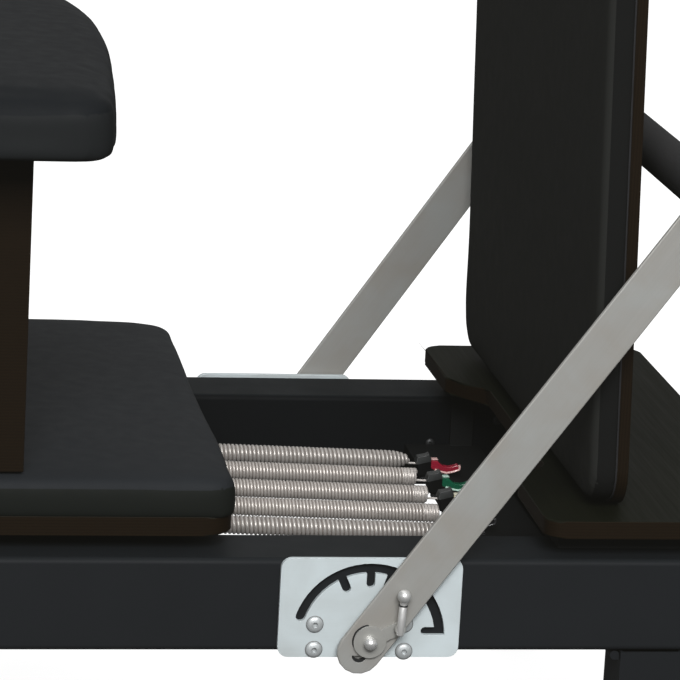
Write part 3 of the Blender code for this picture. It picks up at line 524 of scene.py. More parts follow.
def tube_along(points, r, n=8, closed=False, radii=None):
    """Vertices and faces of a round tube along points given in the row frame."""
    p = np.array([tuple(q) for q in points], float)
    count = len(p)
    if closed:
        t = np.roll(p, -1, 0) - np.roll(p, 1, 0)
    else:
        t = np.gradient(p, axis=0)
    t /= np.linalg.norm(t, axis=1)[:, None]
    normal = np.zeros_like(p)
    ref = np.array((0.0, 0.0, 1.0)) if abs(t[0, 2]) < 0.9 else np.array((0.0, 1.0, 0.0))
    cur = ref
    for i in range(count):
        cur = cur - t[i] * cur.dot(t[i])
        cur = cur / np.linalg.norm(cur)
        normal[i] = cur
    side = np.cross(t, normal)
    a = 2 * np.pi * np.arange(n) / n
    rr = np.full(count, r) if radii is None else np.array(radii, float)
    ring = normal[:, None, :] * np.cos(a)[None, :, None] + side[:, None, :] * np.sin(a)[None, :, None]
    verts = (p[:, None, :] + ring * rr[:, None, None]).reshape(-1, 3)
    i = np.arange(count if closed else count - 1)[:, None]
    k = np.arange(n)[None, :]
    j, m = (i + 1) % count, (k + 1) % n
    quads = np.stack((i * n + k + 0 * j, j * n + k, j * n + m, i * n + m + 0 * j), -1).reshape(-1, 4)
    faces = quads.tolist()
    if not closed:
        faces.append(list(range(n)))
        faces.append(list(range((count - 1) * n, count * n))[::-1])
    return verts, faces


def raw_mesh(name, verts, faces, mat, angle=60.0):
    me = bpy.data.meshes.new(name)
    me.from_pydata(verts.tolist(), [], faces)
    me.update()
    bm = bmesh.new()
    bm.from_mesh(me)
    bmesh.ops.recalc_face_normals(bm, faces=bm.faces)
    bm.to_mesh(me)
    bm.free()
    me.materials.append(mat)
    me.shade_smooth()
    me.set_sharp_from_angle(angle=math.radians(angle))
    return link(name, me)


def turned(name, profile, p0, p1, mats, n=32, angle=35.0):
    """A lathe round the line p0-p1, both from the datum; profile is (radius, distance from p0)."""
    a, b = W(*p0), W(*p1)
    q = Vector((0, 0, 1)).rotation_difference((b - a).normalized())
    bm = bmesh.new()
    lathe(profile, "Z", (-PX, 0, -ZR), n, bm=bm)
    bmesh.ops.transform(bm, matrix=Matrix.Translation(a) @ q.to_matrix().to_4x4(), verts=bm.verts)
    return from_bm(name, bm, mats, angle)


# ------------------------------------------------------------------ soft goods
def inset_outline(points, d):
    """A convex outline moved inwards by d."""
    n = len(points)
    out = []
    for i in range(n):
        p0, p1, p2 = Vector(points[i - 1]), Vector(points[i]), Vector(points[(i + 1) % n])
        e1, e2 = (p1 - p0), (p2 - p1)
        if e1.length < 1e-9 or e2.length < 1e-9:
            e1 = e2 if e1.length < 1e-9 else e1
            e2 = e1 if e2.length < 1e-9 else e2
        n1 = Vector((-e1.y, e1.x)).normalized()
        n2 = Vector((-e2.y, e2.x)).normalized()
        m = (n1 + n2)
        m = m.normalized() if m.length > 1e-6 else n1
        k = d / max(0.3, m.dot(n1))
        out.append((p1.x + m.x * k, p1.y + m.y * k))
    return out


def resample(points, step):
    """Evenly spaced points round a closed outline."""
    pts = [Vector(p) for p in points]
    lens = [(pts[(i + 1) % len(pts)] - pts[i]).length for i in range(len(pts))]
    total = sum(lens)
    count = max(8, int(total / step))
    out, i, acc = [], 0, 0.0
    for k in range(count):
        target = total * k / count
        while acc + lens[i] < target:
            acc += lens[i]
            i += 1
        f = (target - acc) / max(lens[i], 1e-9)
        p = pts[i].lerp(pts[(i + 1) % len(pts)], f)
        out.append((p.x, p.y))
    return out


def rounded(x0, x1, z0, z1, r, n=8):
    return (
        arc(x1 - r, z0 + r, r, -90, 0, n) + arc(x1 - r, z1 - r, r, 0, 90, n)
        + arc(x0 + r, z1 - r, r, 90, 180, n) + arc(x0 + r, z0 + r, r, 180, 270, n)
    )


def loft_pad(outline, axis, base, top, edge, under=0.0, tuck=0.002, steps=6):
    """A closed pad: a flat back at base, an upright border, rounded edges and a flat top at top."""
    bm = bmesh.new()
    rings = []
    up = 1 if top > base else -1
    h = abs(top - base)

    def ring(d, t):
        pts = inset_outline(outline, d) if d else outline
        rings.append([bm.verts.new(W(*lift(axis, a, b, t))) for a, b in pts])

    if under > 0:
        for i in range(steps):
            a = math.pi / 2 * i / steps
            ring(under * (1 - math.sin(a)), base + up * under * (1 - math.cos(a)))
        ring(0.0, base + up * under)
    else:
        ring(tuck + 0.004, base)
        ring(tuck, base + up * 0.0015)
        ring(tuck * 0.3, base + up * h * 0.25)
        ring(0.0, base + up * h * 0.5)
    for i in range(steps + 1):
        a = math.pi / 2 * i / steps
        ring(edge * (1 - math.cos(a)), base + up * (h - edge + edge * math.sin(a)))
    for a, b in zip(rings, rings[1:]):
        n = len(a)
        for k in range(n):
            m = (k + 1) % n
            bm.faces.new((a[k], b[k], b[m], a[m]))
    bm.faces.new(rings[0])
    bm.faces.new(rings[-1][::-1])
    bmesh.ops.triangulate(bm, faces=[f for f in bm.faces if len(f.verts) > 4])
    bmesh.ops.recalc_face_normals(bm, faces=bm.faces)
    return bm


def swell(ob, voxel, pressure, frames, cap, hold):
    """Voxel remesh, then a pressurised cloth; hold(co) is True for points glued to the backing."""
    m = ob.modifiers.new("remesh", "REMESH")
    m.mode = "VOXEL"
    m.voxel_size = voxel
    m.adaptivity = 0.0
    baked(ob)
    ob.data.shade_smooth()
    rest = np.array([v.co for v in ob.data.vertices], float)
    out = np.empty(len(rest) * 3, np.float32)
    ob.data.vertices.foreach_get("normal", out)
    out = out.reshape(-1, 3).astype(float)
    pins = ob.vertex_groups.new(name="glued")
    held = [i for i, c in enumerate(rest) if hold(c)]
    pins.add(held, 1.0, "REPLACE")
    c = ob.modifiers.new("cloth", "CLOTH")
    c.settings.quality = 4
    c.settings.use_pressure = True
    c.settings.uniform_pressure_force = pressure
    c.settings.effector_weights.gravity = 0.0
    c.settings.vertex_group_mass = "glued"
    c.settings.tension_stiffness = 25
    c.settings.compression_stiffness = 15
    c.settings.shear_stiffness = 8
    c.settings.bending_stiffness = 2.0
    c.collision_settings.use_collision = False
    c.point_cache.frame_start = 1
    c.point_cache.frame_end = frames
    for f in range(1, frames + 1):
        scene.frame_set(f)
    dg = bpy.context.evaluated_depsgraph_get()
    ev = ob.evaluated_get(dg).to_mesh()
    now = np.array([v.co for v in ev.vertices], float)
    ob.evaluated_get(dg).to_mesh_clear()
    scene.frame_set(1)
    ob.modifiers.clear()
    ob.vertex_groups.clear()
    d = now - rest
    along = (d * out).sum(1)
    d -= out * (np.minimum(along, 0.0) * 0.88)[:, None]      # the foam inside holds the cover out
    length = np.linalg.norm(d, axis=1)
    k = np.minimum(1.0, cap / np.maximum(length, 1e-9))
    co = rest + d * k[:, None]
    ob.data.vertices.foreach_set("co", co.astype(np.float32).ravel())
    ob.data.update()
    return ob


def relax(ob, times=2, factor=0.5):
    bm = bmesh.new()
    bm.from_mesh(ob.data)
    for _ in range(times):
        bmesh.ops.smooth_vert(bm, verts=bm.verts, factor=factor, use_axis_x=True, use_axis_y=True, use_axis_z=True)
    bm.to_mesh(ob.data)
    bm.free()
    return ob


def subdivide(ob, levels=1):
    s = ob.modifiers.new("fine", "SUBSURF")
    s.levels = s.render_levels = levels
    return baked(ob)


def edge_distance(outline, points):
    """How far each plan point is from a closed outline."""
    pts = np.array(outline, float)
    seg = np.roll(pts, -1, axis=0) - pts
    l2 = (seg**2).sum(1) + 1e-12
    out = np.empty(len(points))
    for i in range(0, len(points), 4000):
        p = points[i : i + 4000, None, :]
        t = np.clip(((p - pts) * seg).sum(2) / l2, 0, 1)
        out[i : i + 4000] = np.sqrt(((pts + seg * t[:, :, None] - p) ** 2).sum(2)).min(1)
    return out


def points_of(ob):
    co = np.empty(len(ob.data.vertices) * 3, np.float32)
    ob.data.vertices.foreach_get("co", co)
    return co.reshape(-1, 3).astype(float)


def make_pad(name, outline, axis, base, top, edge, crown, node, mats, voxel=0.006, cap=0.004, ripple=0.0003,
             under=0.0, tuck=0.002, extra=None, smooth=3, crown_in=0.055, sink=0.0045):
    """A foam pad under vinyl. axis is its thickness, base its backing and top its face."""
    up = 1 if top > base else -1
    sink = 0.0 if under else sink
    ai = "XYZ".index(axis)
    plan = [i for i in range(3) if i != ai]
    off = (PX, 0, ZR)[ai]
    ob = from_bm(name, loft_pad(outline, axis, base - up * sink, top, edge, under, tuck), mats)
    swell(ob, voxel, 4.0, 16, cap, lambda c: (c[ai] - off - base) * up < 0.004)
    ob.data.update()
    co = points_of(ob)
    normal = np.empty(len(co) * 3, np.float32)
    ob.data.vertices.foreach_get("normal", normal)
    normal = normal.reshape(-1, 3).astype(float)
    edge_pts = [[W(*lift(axis, a, b, 0))[i] for i in plan] for a, b in outline]
    d = edge_distance(edge_pts, co[:, plan])
    high = np.clip((co[:, ai] - off - base) * up / abs(top - base), 0, 1)
    co[:, ai] += up * crown * (1 - np.exp(-d / crown_in)) * high**3
    waves = np.array([
        noise.noise(Vector(c) * 9.0) * 0.6 + noise.noise(Vector(c) * 26.0 + Vector((3.1, 7.7, 1.9))) * 0.4 for c in co
    ])
    co += normal * (ripple * waves * (0.3 + 0.7 * high))[:, None]
    ob.data.vertices.foreach_set("co", co.astype(np.float32).ravel())
    relax(ob, smooth, 0.5)
    co = points_of(ob)
    if not under:                     # the back lies flat on its board
        low = (co[:, ai] - off - base) * up < 0.0003
        co[low, ai] = off + base + up * 0.0003
    if extra is not None:
        co = extra(co)
    ob.data.vertices.foreach_set("co", co.astype(np.float32).ravel())
    ob.data.update()
    subdivide(ob, 1)
    ob.data.shade_smooth()
    # the sides take the second material, a copy of the vinyl with painted shade
    if len(ob.data.materials) > 1:
        fn = np.empty(len(ob.data.polygons) * 3, np.float32)
        ob.data.polygons.foreach_get("normal", fn)
        ob.data.polygons.foreach_set("material_index", (fn.reshape(-1, 3)[:, ai] * up <= 0.35).astype(np.int32))
    place(ob, body_of[node], SLOT[node], node)
    return ob


def seam_tube(name, points, body, r=0.0006, mat=THREAD, slot="black_vinyl", n=6, closed=True):
    verts, faces = tube_along(points, r, n, closed)
    return place(raw_mesh(name, verts, faces, mat), body, slot)


# carriage pad
CAR = (-0.710, -0.1254)
CAR_OUT = (
    arc(CAR[1] - 0.024, -0.313 + 0.024, 0.024, -90, 0, 9) + arc(CAR[1] - 0.024, 0.313 - 0.024, 0.024, 0, 90, 9)
    + arc(CAR[0] + 0.030, 0.313 - 0.030, 0.030, 90, 180, 8) + arc(CAR[0] + 0.030, -0.313 + 0.030, 0.030, 180, 270, 8)
)


def lean_out(co):
    """The foam fills the cover most near the middle of its foot-ward end, on the user's right."""
    x, y, z = co[:, 0] - PX, co[:, 1], co[:, 2] - ZR
    near_end = np.clip((x + 0.190) / 0.060, 0, 1) ** 2
    co = co.copy()
    high = np.clip((z - 0.038) / 0.02, 0, 1)
    co[:, 0] += 0.0022 * near_end * np.exp(-(((y + 0.165) / 0.075) ** 2)) * high
    co[:, 0] += 0.0048 * near_end * np.clip((y - 0.05) / 0.22, 0, 1) * high
    # the far corner of its top is worn down
    far = np.clip((y - 0.12) / 0.17, 0, 1) ** 1.5 * np.clip((x + 0.250) / 0.118, 0, 1) ** 1.6
    co[:, 2] -= 0.0052 * far * np.clip((z - 0.032) / 0.030, 0, 1)
    return co


make_pad(
    "carriage_cushion", CAR_OUT, "Z", 0.0318, 0.0680, 0.0105, 0.0045, "carriage_pad",
    [VINYL, VINYL_SIDE_PAINTED_SHADE], voxel=0.0055, cap=0.0020, ripple=0.0004, tuck=0.0003, extra=lean_out,
)

# headrest
HEAD_OUT = (
    arc(-0.7455 - 0.025, -0.140 + 0.025, 0.025, -90, 0, 6) + arc(-0.7455 - 0.025, 0.140 - 0.025, 0.025, 0, 90, 6)
    + arc(-0.980 + 0.040, 0.140 - 0.040, 0.040, 90, 180, 8) + arc(-0.980 + 0.040, -0.140 + 0.040, 0.040, 180, 270, 8)
)
make_pad(
    "headrest_cushion", inset_outline(HEAD_OUT, 0.0015), "Z", 0.0344, 0.0740, 0.014, 0.005, "headrest_pad",
    [VINYL, VINYL_SIDE_PAINTED_SHADE], voxel=0.005, cap=0.004,
)
seam_tube("headrest_welt", [W(x, y, 0.0362) for x, y in resample(inset_outline(HEAD_OUT, 0.0010), 0.01)], "headrest", 0.0011)

# shoulder pads: their backing is the bracket's upright
for tag, s in SIDES:
    y0, y1 = sorted((s * 0.156, s * 0.289))
    out = rounded(y0, y1, 0.0440, 0.2245, 0.028, 7)
    make_pad(
        "shoulder_cushion_" + tag, out, "X", -0.7765, -0.7260, 0.018, 0.005, "shoulder_pad_" + tag,
        [VINYL, VINYL_SIDE_PAINTED_SHADE], voxel=0.005, cap=0.005,
    )
    seam_tube(
        "shoulder_seam_" + tag, [W(-0.7560, y, z) for y, z in resample(inset_outline(out, -0.0020), 0.008)],
        "carriage", 0.0009,
    )

# jump board pad, leaning towards the carriage
JX = 0.2045
LEAN = 0.030
BOARD_TOP = 0.0378
JUMP_OUT = rounded(-0.3125, 0.3137, 0.0452, 0.6990, 0.036, 12)


def leaning(co):
    co = co.copy()
    z = co[:, 2] - ZR
    front = np.clip((JX + 0.0277 - (co[:, 0] - PX)) / 0.0255, 0, 1) * np.clip((co[:, 1] + 0.05) / 0.36, 0, 1)
    co[:, 0] -= front * (0.0008 + 0.0016 * np.exp(-(((z - 0.100) / 0.050) ** 2)))
    co[:, 0] -= LEAN * (z - BOARD_TOP)
    return co


make_pad(
    "jump_cushion", JUMP_OUT, "X", JX + 0.0277, JX + 0.0022, 0.0065, 0.0018, "jump_pad",
    [VINYL_JUMP, VINYL_JUMP_SIDE_PAINTED_SHADE], voxel=0.005, cap=0.0015, ripple=0.0003, tuck=0.001, extra=leaning, smooth=2,
)
welt = [(JX + 0.0262 - LEAN * (z - BOARD_TOP), y, z) for y, z in resample(inset_outline(JUMP_OUT, 0.0004), 0.010)]
seam_tube("jump_welt", [W(*q) for q in welt], "jump_board", 0.0010)

# sitting box pad: vinyl round its whole thickness, its sides drawn in towards the ends
def seat_side(y):
    q = y - 0.03
    waist = 0.0234 * max(0.0, min(1.15, (y + 0.10) / 0.306)) ** 1.7
    return -0.2268 + 0.060 * q - (q * q / 2.05 if q > 0 else 0.035 * q * q) - waist


def seat_outline(h=0.398, r=0.032, n=8, m=22):
    mid = -0.435
    right = []
    lower = seat_side(-h)
    right += [(lower - r + r * math.cos(math.radians(a)) * 1.0, -h + r + r * math.sin(math.radians(a)) - 0.0)
              for a in np.linspace(-90, 0, n)]
    for i in range(1, m):
        y = -(h - r) + 2 * (h - r) * i / m
        right.append((seat_side(y), y))
    upper = seat_side(h - r)
    right += [(upper - r + r * math.cos(math.radians(a)), h - r + r * math.sin(math.radians(a)))
              for a in np.linspace(0, 90, n)]
    left = [(2 * mid - x, -y) for x, y in right]
    return right + left


SEAT_OUT = seat_outline()
# its top and sides take copies of the vinyl with painted shade
make_pad(
    "seat_cushion", inset_outline(SEAT_OUT, 0.0010), "Z", 0.3808, 0.4370, 0.0160, 0.0060, "box_pad", [VINYL_SEAT_TOP_PAINTED_SHADE, SEAT_SIDE_VINYL_PAINTED_SHADE],
    voxel=0.006, cap=0.004, ripple=0.00012, under=0.0085, smooth=3, crown_in=0.09,
)

# ------------------------------------------------------------------ wood
def by_axis(axis, limit=0.6):
    i = "XYZ".index(axis)
    return lambda f: 0 if abs(f.normal[i]) > limit else 1


polish("platform_board", [PLY_TOP, PLY_EDGE], 0.0012, 2, pick=by_axis("Z"))
polish("carriage_base", [PLY_TOP_X, PLY_EDGE], 0.0012, 2, pick=by_axis("Z"))
polish("jump_panel", [PLY_TOP_Z, PLY_EDGE_X], 0.0010, 2, pick=by_axis("X"))
polish("box_body", [PLY_TOP_Z, PLY_EDGE], 0.0012, 2, pick=by_axis("Z", 1.1))

# ------------------------------------------------------------------ painted frame
for n in ("foot_rail_near", "foot_rail_far", "head_rail_near", "head_rail_far"):
    inward = 1 if n.endswith("near") else -1
    # inner faces and tops take the darker copies of the powder coat: painted shade
    polish(n, [BLACK, BLACK_INNER_PAINTED_SHADE, BLACK_TOP_PAINTED_SHADE if inward > 0 else FAR_TOP_BLACK_PAINTED_SHADE], 0.0008, 2,
           pick=lambda f: 1 if f.normal.y * inward > 0.5 else (2 if f.normal.z > 0.6 else 0))
for n in ("foot_end_beam", "mid_beam", "head_end_beam", "foot_leg", "mid_leg", "head_leg",
          "hinge_plate_near", "hinge_plate_far", "shoulder_bracket_near", "shoulder_bracket_far"):
    polish(n, [BLACK], 0.0010, 2)
for n in ("spring_bar", "carriage_subframe"):
    polish(n, [BLACK_IN], 0.0008, 2)
for n in ("slot_plate_near", "slot_plate_far"):
    polish(n, [PLATE_STEEL], 0.0006, 2)
for n, turn, shift in (("footbar_arm_near", -0.0098, 0.0), ("footbar_arm_far", 0.0130, -0.0028)):
    ob = polish(n, [ARM_STEEL], 0.0009, 3)     # each arm has a little play of its own on its pivot
    co = points_of(ob)
    pin = np.array(W(PIN_X, 0, PIVOT_Z))
    dx, dz = co[:, 0] - pin[0], co[:, 2] - pin[2]
    co[:, 0] = pin[0] + dx * math.cos(turn) - dz * math.sin(turn) - shift * math.sin(ARM_ANGLE)
    co[:, 2] = pin[2] + dx * math.sin(turn) + dz * math.cos(turn) + shift * math.cos(ARM_ANGLE)
    ob.data.vertices.foreach_set("co", co.astype(np.float32).ravel())
    ob.data.update()
for n in ("track_wheel_1", "track_wheel_2", "track_wheel_3", "track_wheel_4", "rope_pulley_near", "rope_pulley_far"):
    polish(n, [PLASTIC], 0.0005, 2)
polish("footbar_tube", [BAR_STEEL], 0.0006, 2)
polish("footbar_foam", [FOAM], 0.0015, 2)
for tag, s in SIDES:
    polish(
        "pivot_bolt_" + tag, [DISC_STEEL, CHROME], 0.0003, 2,
        pick=lambda f: 1 if abs(f.calc_center_median().y) > ARM_OUT + 0.0034 else 0,
    )


# rubber feet: sleeves round the ends of the leg posts
def ring_prism(outer, inner, z0, z1):
    bm = bmesh.new()
    rows = []
    for pts, z in ((outer, z0), (outer, z1), (inner, z1), (inner, z0)):
        rows.append([bm.verts.new(W(x, y, z)) for x, y in pts])
    n = len(outer)
    for i in range(4):
        a, b = rows[i], rows[(i + 1) % 4]
        for k in range(n):
            m = (k + 1) % n
            bm.faces.new((a[k], b[k], b[m], a[m]))
    return bm


for leg, x0 in (("foot_leg", 0.242), ("mid_leg", -1.010), ("head_leg", -1.910)):
    for tag, s in SIDES:
        y0, y1 = sorted((s * 0.270, s * 0.330))
        e = 0.0022
        outer = rounded(x0 - e, x0 + 0.060 + e, y0 - e, y1 + e, 0.005, 4)
        inner = rounded(x0 - 0.0002, x0 + 0.0602, y0 - 0.0002, y1 + 0.0002, 0.0012, 4)
        ob = from_bm(f"{leg}_cap_{tag}", ring_prism(outer, inner, -0.2918, -0.2700), [RUBBER])
        soften(ob, 0.0008, 2)
        place(ob, body_of[leg], "black_plastic")

# ------------------------------------------------------------------ lock levers, the painted shadow by the pivot discs and the arms' pockets with painted shade
LEVER_BASE = (0.0250, -0.0615)
LEVER_BALL = (0.0269, -0.0285)
for tag, s in SIDES:
    yc = s * (ARM_OUT + 0.0082)
    ux, uz = LEVER_BALL[0] - LEVER_BASE[0], LEVER_BALL[1] - LEVER_BASE[1]
    prof = [(0.0, -0.0052), (0.0028, -0.0052), (0.0036, -0.0044), (0.0037, -0.0030), (0.0037, 0.0232), (0.0034, 0.0237),
            (0.0034, 0.0270)]
    prof += [(0.0064 * math.sin(math.radians(a)), 0.0330 - 0.0064 * math.cos(math.radians(a))) for a in range(36, 180, 12)]
    prof += [(0.0, 0.0394)]
    ob = turned(
        "lever_shank_" + tag, prof, (LEVER_BASE[0], yc, LEVER_BASE[1]),
        (LEVER_BASE[0] + ux, yc, LEVER_BASE[1] + uz), [LEVER_STEEL],
    )
    place(ob, "lock_lever_" + tag, "bright_chrome", "lock_lever_" + tag)
    prof = [(0.0, 0.0), (0.0050, 0.0), (0.0053, 0.0004), (0.0053, 0.0040), (0.0046, 0.0052), (0.0, 0.0056)]
    ob = from_bm(
        "lever_knuckle_" + tag,
        lathe([(r, s * t) for r, t in prof], "Y", (LEVER_BASE[0], s * (ARM_OUT + 0.0036), LEVER_BASE[1]), 28), [DISC_STEEL],
    )
    place(ob, "lock_lever_" + tag, "bright_chrome")
    prof = [(0.0034, 0.0236), (0.0043, 0.0236), (0.0043, 0.0248), (0.0034, 0.0248)]
    bm = bmesh.new()
    lathe(prof, "Z", (0, 0, 0), 28, True, bm)
    a = W(LEVER_BASE[0], yc, LEVER_BASE[1])
    q = Vector((0, 0, 1)).rotation_difference(Vector((ux, 0, uz)).normalized())
    bmesh.ops.translate(bm, vec=-W(0, 0, 0), verts=bm.verts)
    bmesh.ops.transform(bm, matrix=Matrix.Translation(a) @ q.to_matrix().to_4x4(), verts=bm.verts)
    place(from_bm("lever_collar_" + tag, bm, [BLACK_BOLT_AND_PAINTED_SHADE]), "lock_lever_" + tag, "bright_chrome")
    y0, y1 = sorted((s * (ARM_OUT + 0.0001), s * (ARM_OUT + 0.0014)))
    # a dark crescent laid along the disc's upper rim: painted shadow
    shade = arc(PIN_X - 0.0006, PIVOT_Z + 0.0006, 0.0158, 95, 200, 22) + arc(PIN_X, PIVOT_Z, 0.0140, 200, 95, 18)
    place(from_bm("disc_painted_shadow_" + tag, prism(shade, "Y", y0, y1), [BLACK_BOLT_AND_PAINTED_SHADE]), "footbar", "brushed_steel")
    # a dark crescent inside the arm's pocket: painted shade
    moon = arc(-0.0107, -0.0893, 0.0067, 186, 354, 14) + arc(-0.0107, -0.0872, 0.0060, 338, 202, 12)
    y0, y1 = sorted((s * 0.3412, s * 0.3438))
    ob = from_bm("arm_pocket_painted_shade_" + tag, prism(moon, "Y", y0, y1), [BLACK_BOLT_AND_PAINTED_SHADE])
    place(ob, "footbar", "brushed_steel")

# ------------------------------------------------------------------ springs
SPRING_Y = [0.0645 * (2 - i) for i in range(5)]


def spring_z(x):
    return -0.0314 - 0.031 * x


for i, y in enumerate(SPRING_Y):
    pitch, wire = ((0.00427, 0.00208) if i in (0, 4) else (0.00347, 0.00169))
    x0, x1 = -0.5755, (0.1150, 0.1112, 0.1108, 0.1104, 0.1150)[i]
    r = 0.0096 - wire
    turns = (x1 - x0) / pitch
    count = int(turns * 18)
    f = np.linspace(0, 1, count + 1)
    x = x0 + (x1 - x0) * f
    rr = r * (0.45 + 0.55 * np.sin(np.pi / 2 * np.clip((x - x0) / 0.012, 0, 1)))
    if i in (0, 4):
        tail = np.clip((x1 - x) / 0.022, 0, 1)
        rr = np.minimum(rr, r * (0.04 + 0.96 * np.sqrt(np.clip(1 - (1 - tail) ** 2, 0, 1))))
    a = 2 * np.pi * turns * f + i * 1.3
    pts = np.stack((x + PX, y - rr * np.sin(a), spring_z(x) - 0.0006 + ZR + rr * np.cos(a)), 1)
    verts, faces = tube_along(pts, wire, 7)
    # springs 1 and 5 take the darker copy of the wire: painted shade
    ob = raw_mesh(f"coil_spring_{i + 1}", verts, faces, SPRING_STEEL if i in (1, 2, 3) else SPRING_STEEL_OUTER_PAINTED_SHADE, 80)
    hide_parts(f"spring_{i + 1}")
    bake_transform(ob)
    # a dark core through each coil: painted shade where the coil's inside is in shadow
    ends = [(x0 + 0.014, 0.2), (x0 + 0.018, 0.96)] + [(x0 + 0.05 + 0.06 * k, 0.96) for k in range(11)]
    ends = [e for e in ends if e[0] < x1 - 0.022] + [(x1 - 0.020, 0.96), (x1 - 0.012, 0.72 if i in (0, 4) else 0.96), (x1 - 0.007, 0.15)]
    pts = np.array([(ex + PX, y, spring_z(ex) - 0.0006 + ZR) for ex, _ in ends])
    verts, faces = tube_along(pts, r, 24, radii=[(r + 0.0010) * k for _, k in ends])
    ob = raw_mesh(f"spring_core_painted_shade_{i + 1}", verts, faces, COIL_CORE_PAINTED_SHADE, 60)
    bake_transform(ob)
    z = spring_z(0.107)
    if i not in (0, 4):
        # end sleeve inside the last turns
        prof = [(0.0, -0.0110), (0.0084, -0.0110), (0.0086, -0.0080), (0.0086, -0.0010),
                (0.0086, 0.0020), (0.0084, 0.0036), (0.0078, 0.0044), (0.0060, 0.0046), (0.0, 0.0046)]
        ob = from_bm(f"spring_sleeve_{i + 1}", lathe(prof, "X", (0.107, y, z), 40), [SLEEVE_STEEL])
        place(ob, "foot_frame", "spring_steel")
    verts, faces = tube_along([W(0.1080, y, z - 0.0040), W(0.1160, y, z - 0.0044), W(0.1262, y, z - 0.0048)], 0.00120, 14)
    place(raw_mesh(f"spring_hook_{i + 1}", verts, faces, SLEEVE_STEEL), "foot_frame", "spring_steel")

    # clamp block: a chunky black block, its top face slanted and its edges broken; its top face is a lighter copy of
    # the nylon as painted light and the rest a darker copy as painted shade
    zt = z + 0.0345 - 0.0345
    drop = spring_z(0.1318) - spring_z(0.1318)
    low = [(0.1250, -0.0510), (0.1330, -0.0516), (0.1386, -0.0480), (0.1390, -0.0330), (0.1368, -0.0274),
           (0.1331, -0.0296), (0.1243, -0.0312), (0.1224, -0.0375), (0.1246, -0.0412)]
    bm = prism(low, "Y", y - 0.0078, y + 0.0082)
    for v in bm.verts:            # narrower towards the top, so that its shoulders catch the light
        k = max(0.0, min(1.0, (v.co.z - ZR + 0.0405) / 0.013))
        v.co.y = y + (v.co.y - y) * (1 - 0.42 * k)
    ob = from_bm(f"clamp_block_{i + 1}", bm, [PLASTIC_PAINTED_SHADE, PLASTIC_PAINTED_LIGHT], smooth=False)
    soften(ob, 0.0010, 2)
    bm = bmesh.new()
    bm.from_mesh(ob.data)
    cut = W(0.1315, y, -0.0372)
    bmesh.ops.bisect_plane(bm, geom=bm.verts[:] + bm.edges[:] + bm.faces[:], plane_co=cut, plane_no=Vector((-0.20, 0, 1)))
    # faces above the slanted cut take the lighter copy, painted light; the rest keep the darker copy, painted shade
    for face in bm.faces:
        q = face.calc_center_median() - cut
        face.material_index = 1 if q.z - 0.20 * q.x > 0 else 0
    bm.to_mesh(ob.data)
    bm.free()
    place(ob, "foot_frame", "black_plastic", f"spring_stem_{i + 1}")
    bm = bmesh.new()
    add_box(bm, (0.1290, y - 0.0050, -0.0575), (0.1360, y + 0.0050, -0.0528))
    ob = from_bm(f"clamp_foot_{i + 1}", bm, [PLASTIC], smooth=False)
    soften(ob, 0.0008, 2)
    place(ob, "foot_frame", "black_plastic")
    # detent pin
    bm = lathe([(0.0, -0.0012), (0.0012, -0.0009), (0.0016, 0.0), (0.0012, 0.0009), (0.0, 0.0012)], "X", (0.1418, y - 0.0050, -0.0480), 20)
    place(from_bm(f"clamp_pin_{i + 1}", bm, [CHROME]), "foot_frame", "black_plastic")
    verts, faces = tube_along([W(0.1376, y - 0.0050, -0.0478), W(0.1416, y - 0.0050, -0.0480)], 0.0009, 10)
    place(raw_mesh(f"clamp_pin_shank_{i + 1}", verts, faces, CHROME), "foot_frame", "black_plastic")

    # pull tab: a curved strip, thick at the root, with a paler rim and cap that are painted highlights
    top = [(0.1393, -0.0345), (0.1471, -0.0350), (0.1488, -0.0375), (0.1539, -0.0410), (0.1604, -0.0419),
           (0.1668, -0.0406), (0.1699, -0.0393)]
    tip = [(0.1719, -0.0402), (0.1728, -0.0428), (0.1722, -0.0452)]
    low = [(0.1661, -0.0474), (0.1576, -0.0488), (0.1500, -0.0474), (0.1435, -0.0452), (0.1393, -0.0436)]
    top, tip, low = ([(0.1393 + (a - 0.1393) * 0.93, b - 0.0006) for a, b in part] for part in (top, tip, low))
    outline = (top + tip + low)[::-1]
    bm = prism(outline, "Y", y - 0.0042, y + 0.0042)
    ob = from_bm(f"pull_tab_{i + 1}", bm, [TAG_MATS[i]], smooth=False)
    soften(ob, 0.0011, 3, 24)
    place(ob, "foot_frame", f"tag_{TAG_NAMES[i]}", f"spring_tag_{i + 1}")
    rim = [top[0], top[1]]
    highlight_bead = tip + low[:-1]
    path = [W(px, y - 0.0040, pz) for px, pz in [(a * 0.985 + 0.157 * 0.015, b + 0.0007) for a, b in highlight_bead]]
    verts, faces = tube_along(path, 0.0013, 10)
    place(raw_mesh(f"tab_rim_painted_highlight_{i + 1}", verts, faces, TAG_HIGHLIGHT_MATS[i]), "foot_frame", f"tag_{TAG_NAMES[i]}")
    bm = bmesh.new()
    add_box(bm, (0.1396, y - 0.0038, -0.0349), (0.1466, y + 0.0038, -0.0340))
    ob = from_bm(f"tab_cap_painted_highlight_{i + 1}", bm, [TAG_HIGHLIGHT_MATS[i]], smooth=False)
    soften(ob, 0.0003, 2)
    place(ob, "foot_frame", f"tag_{TAG_NAMES[i]}")


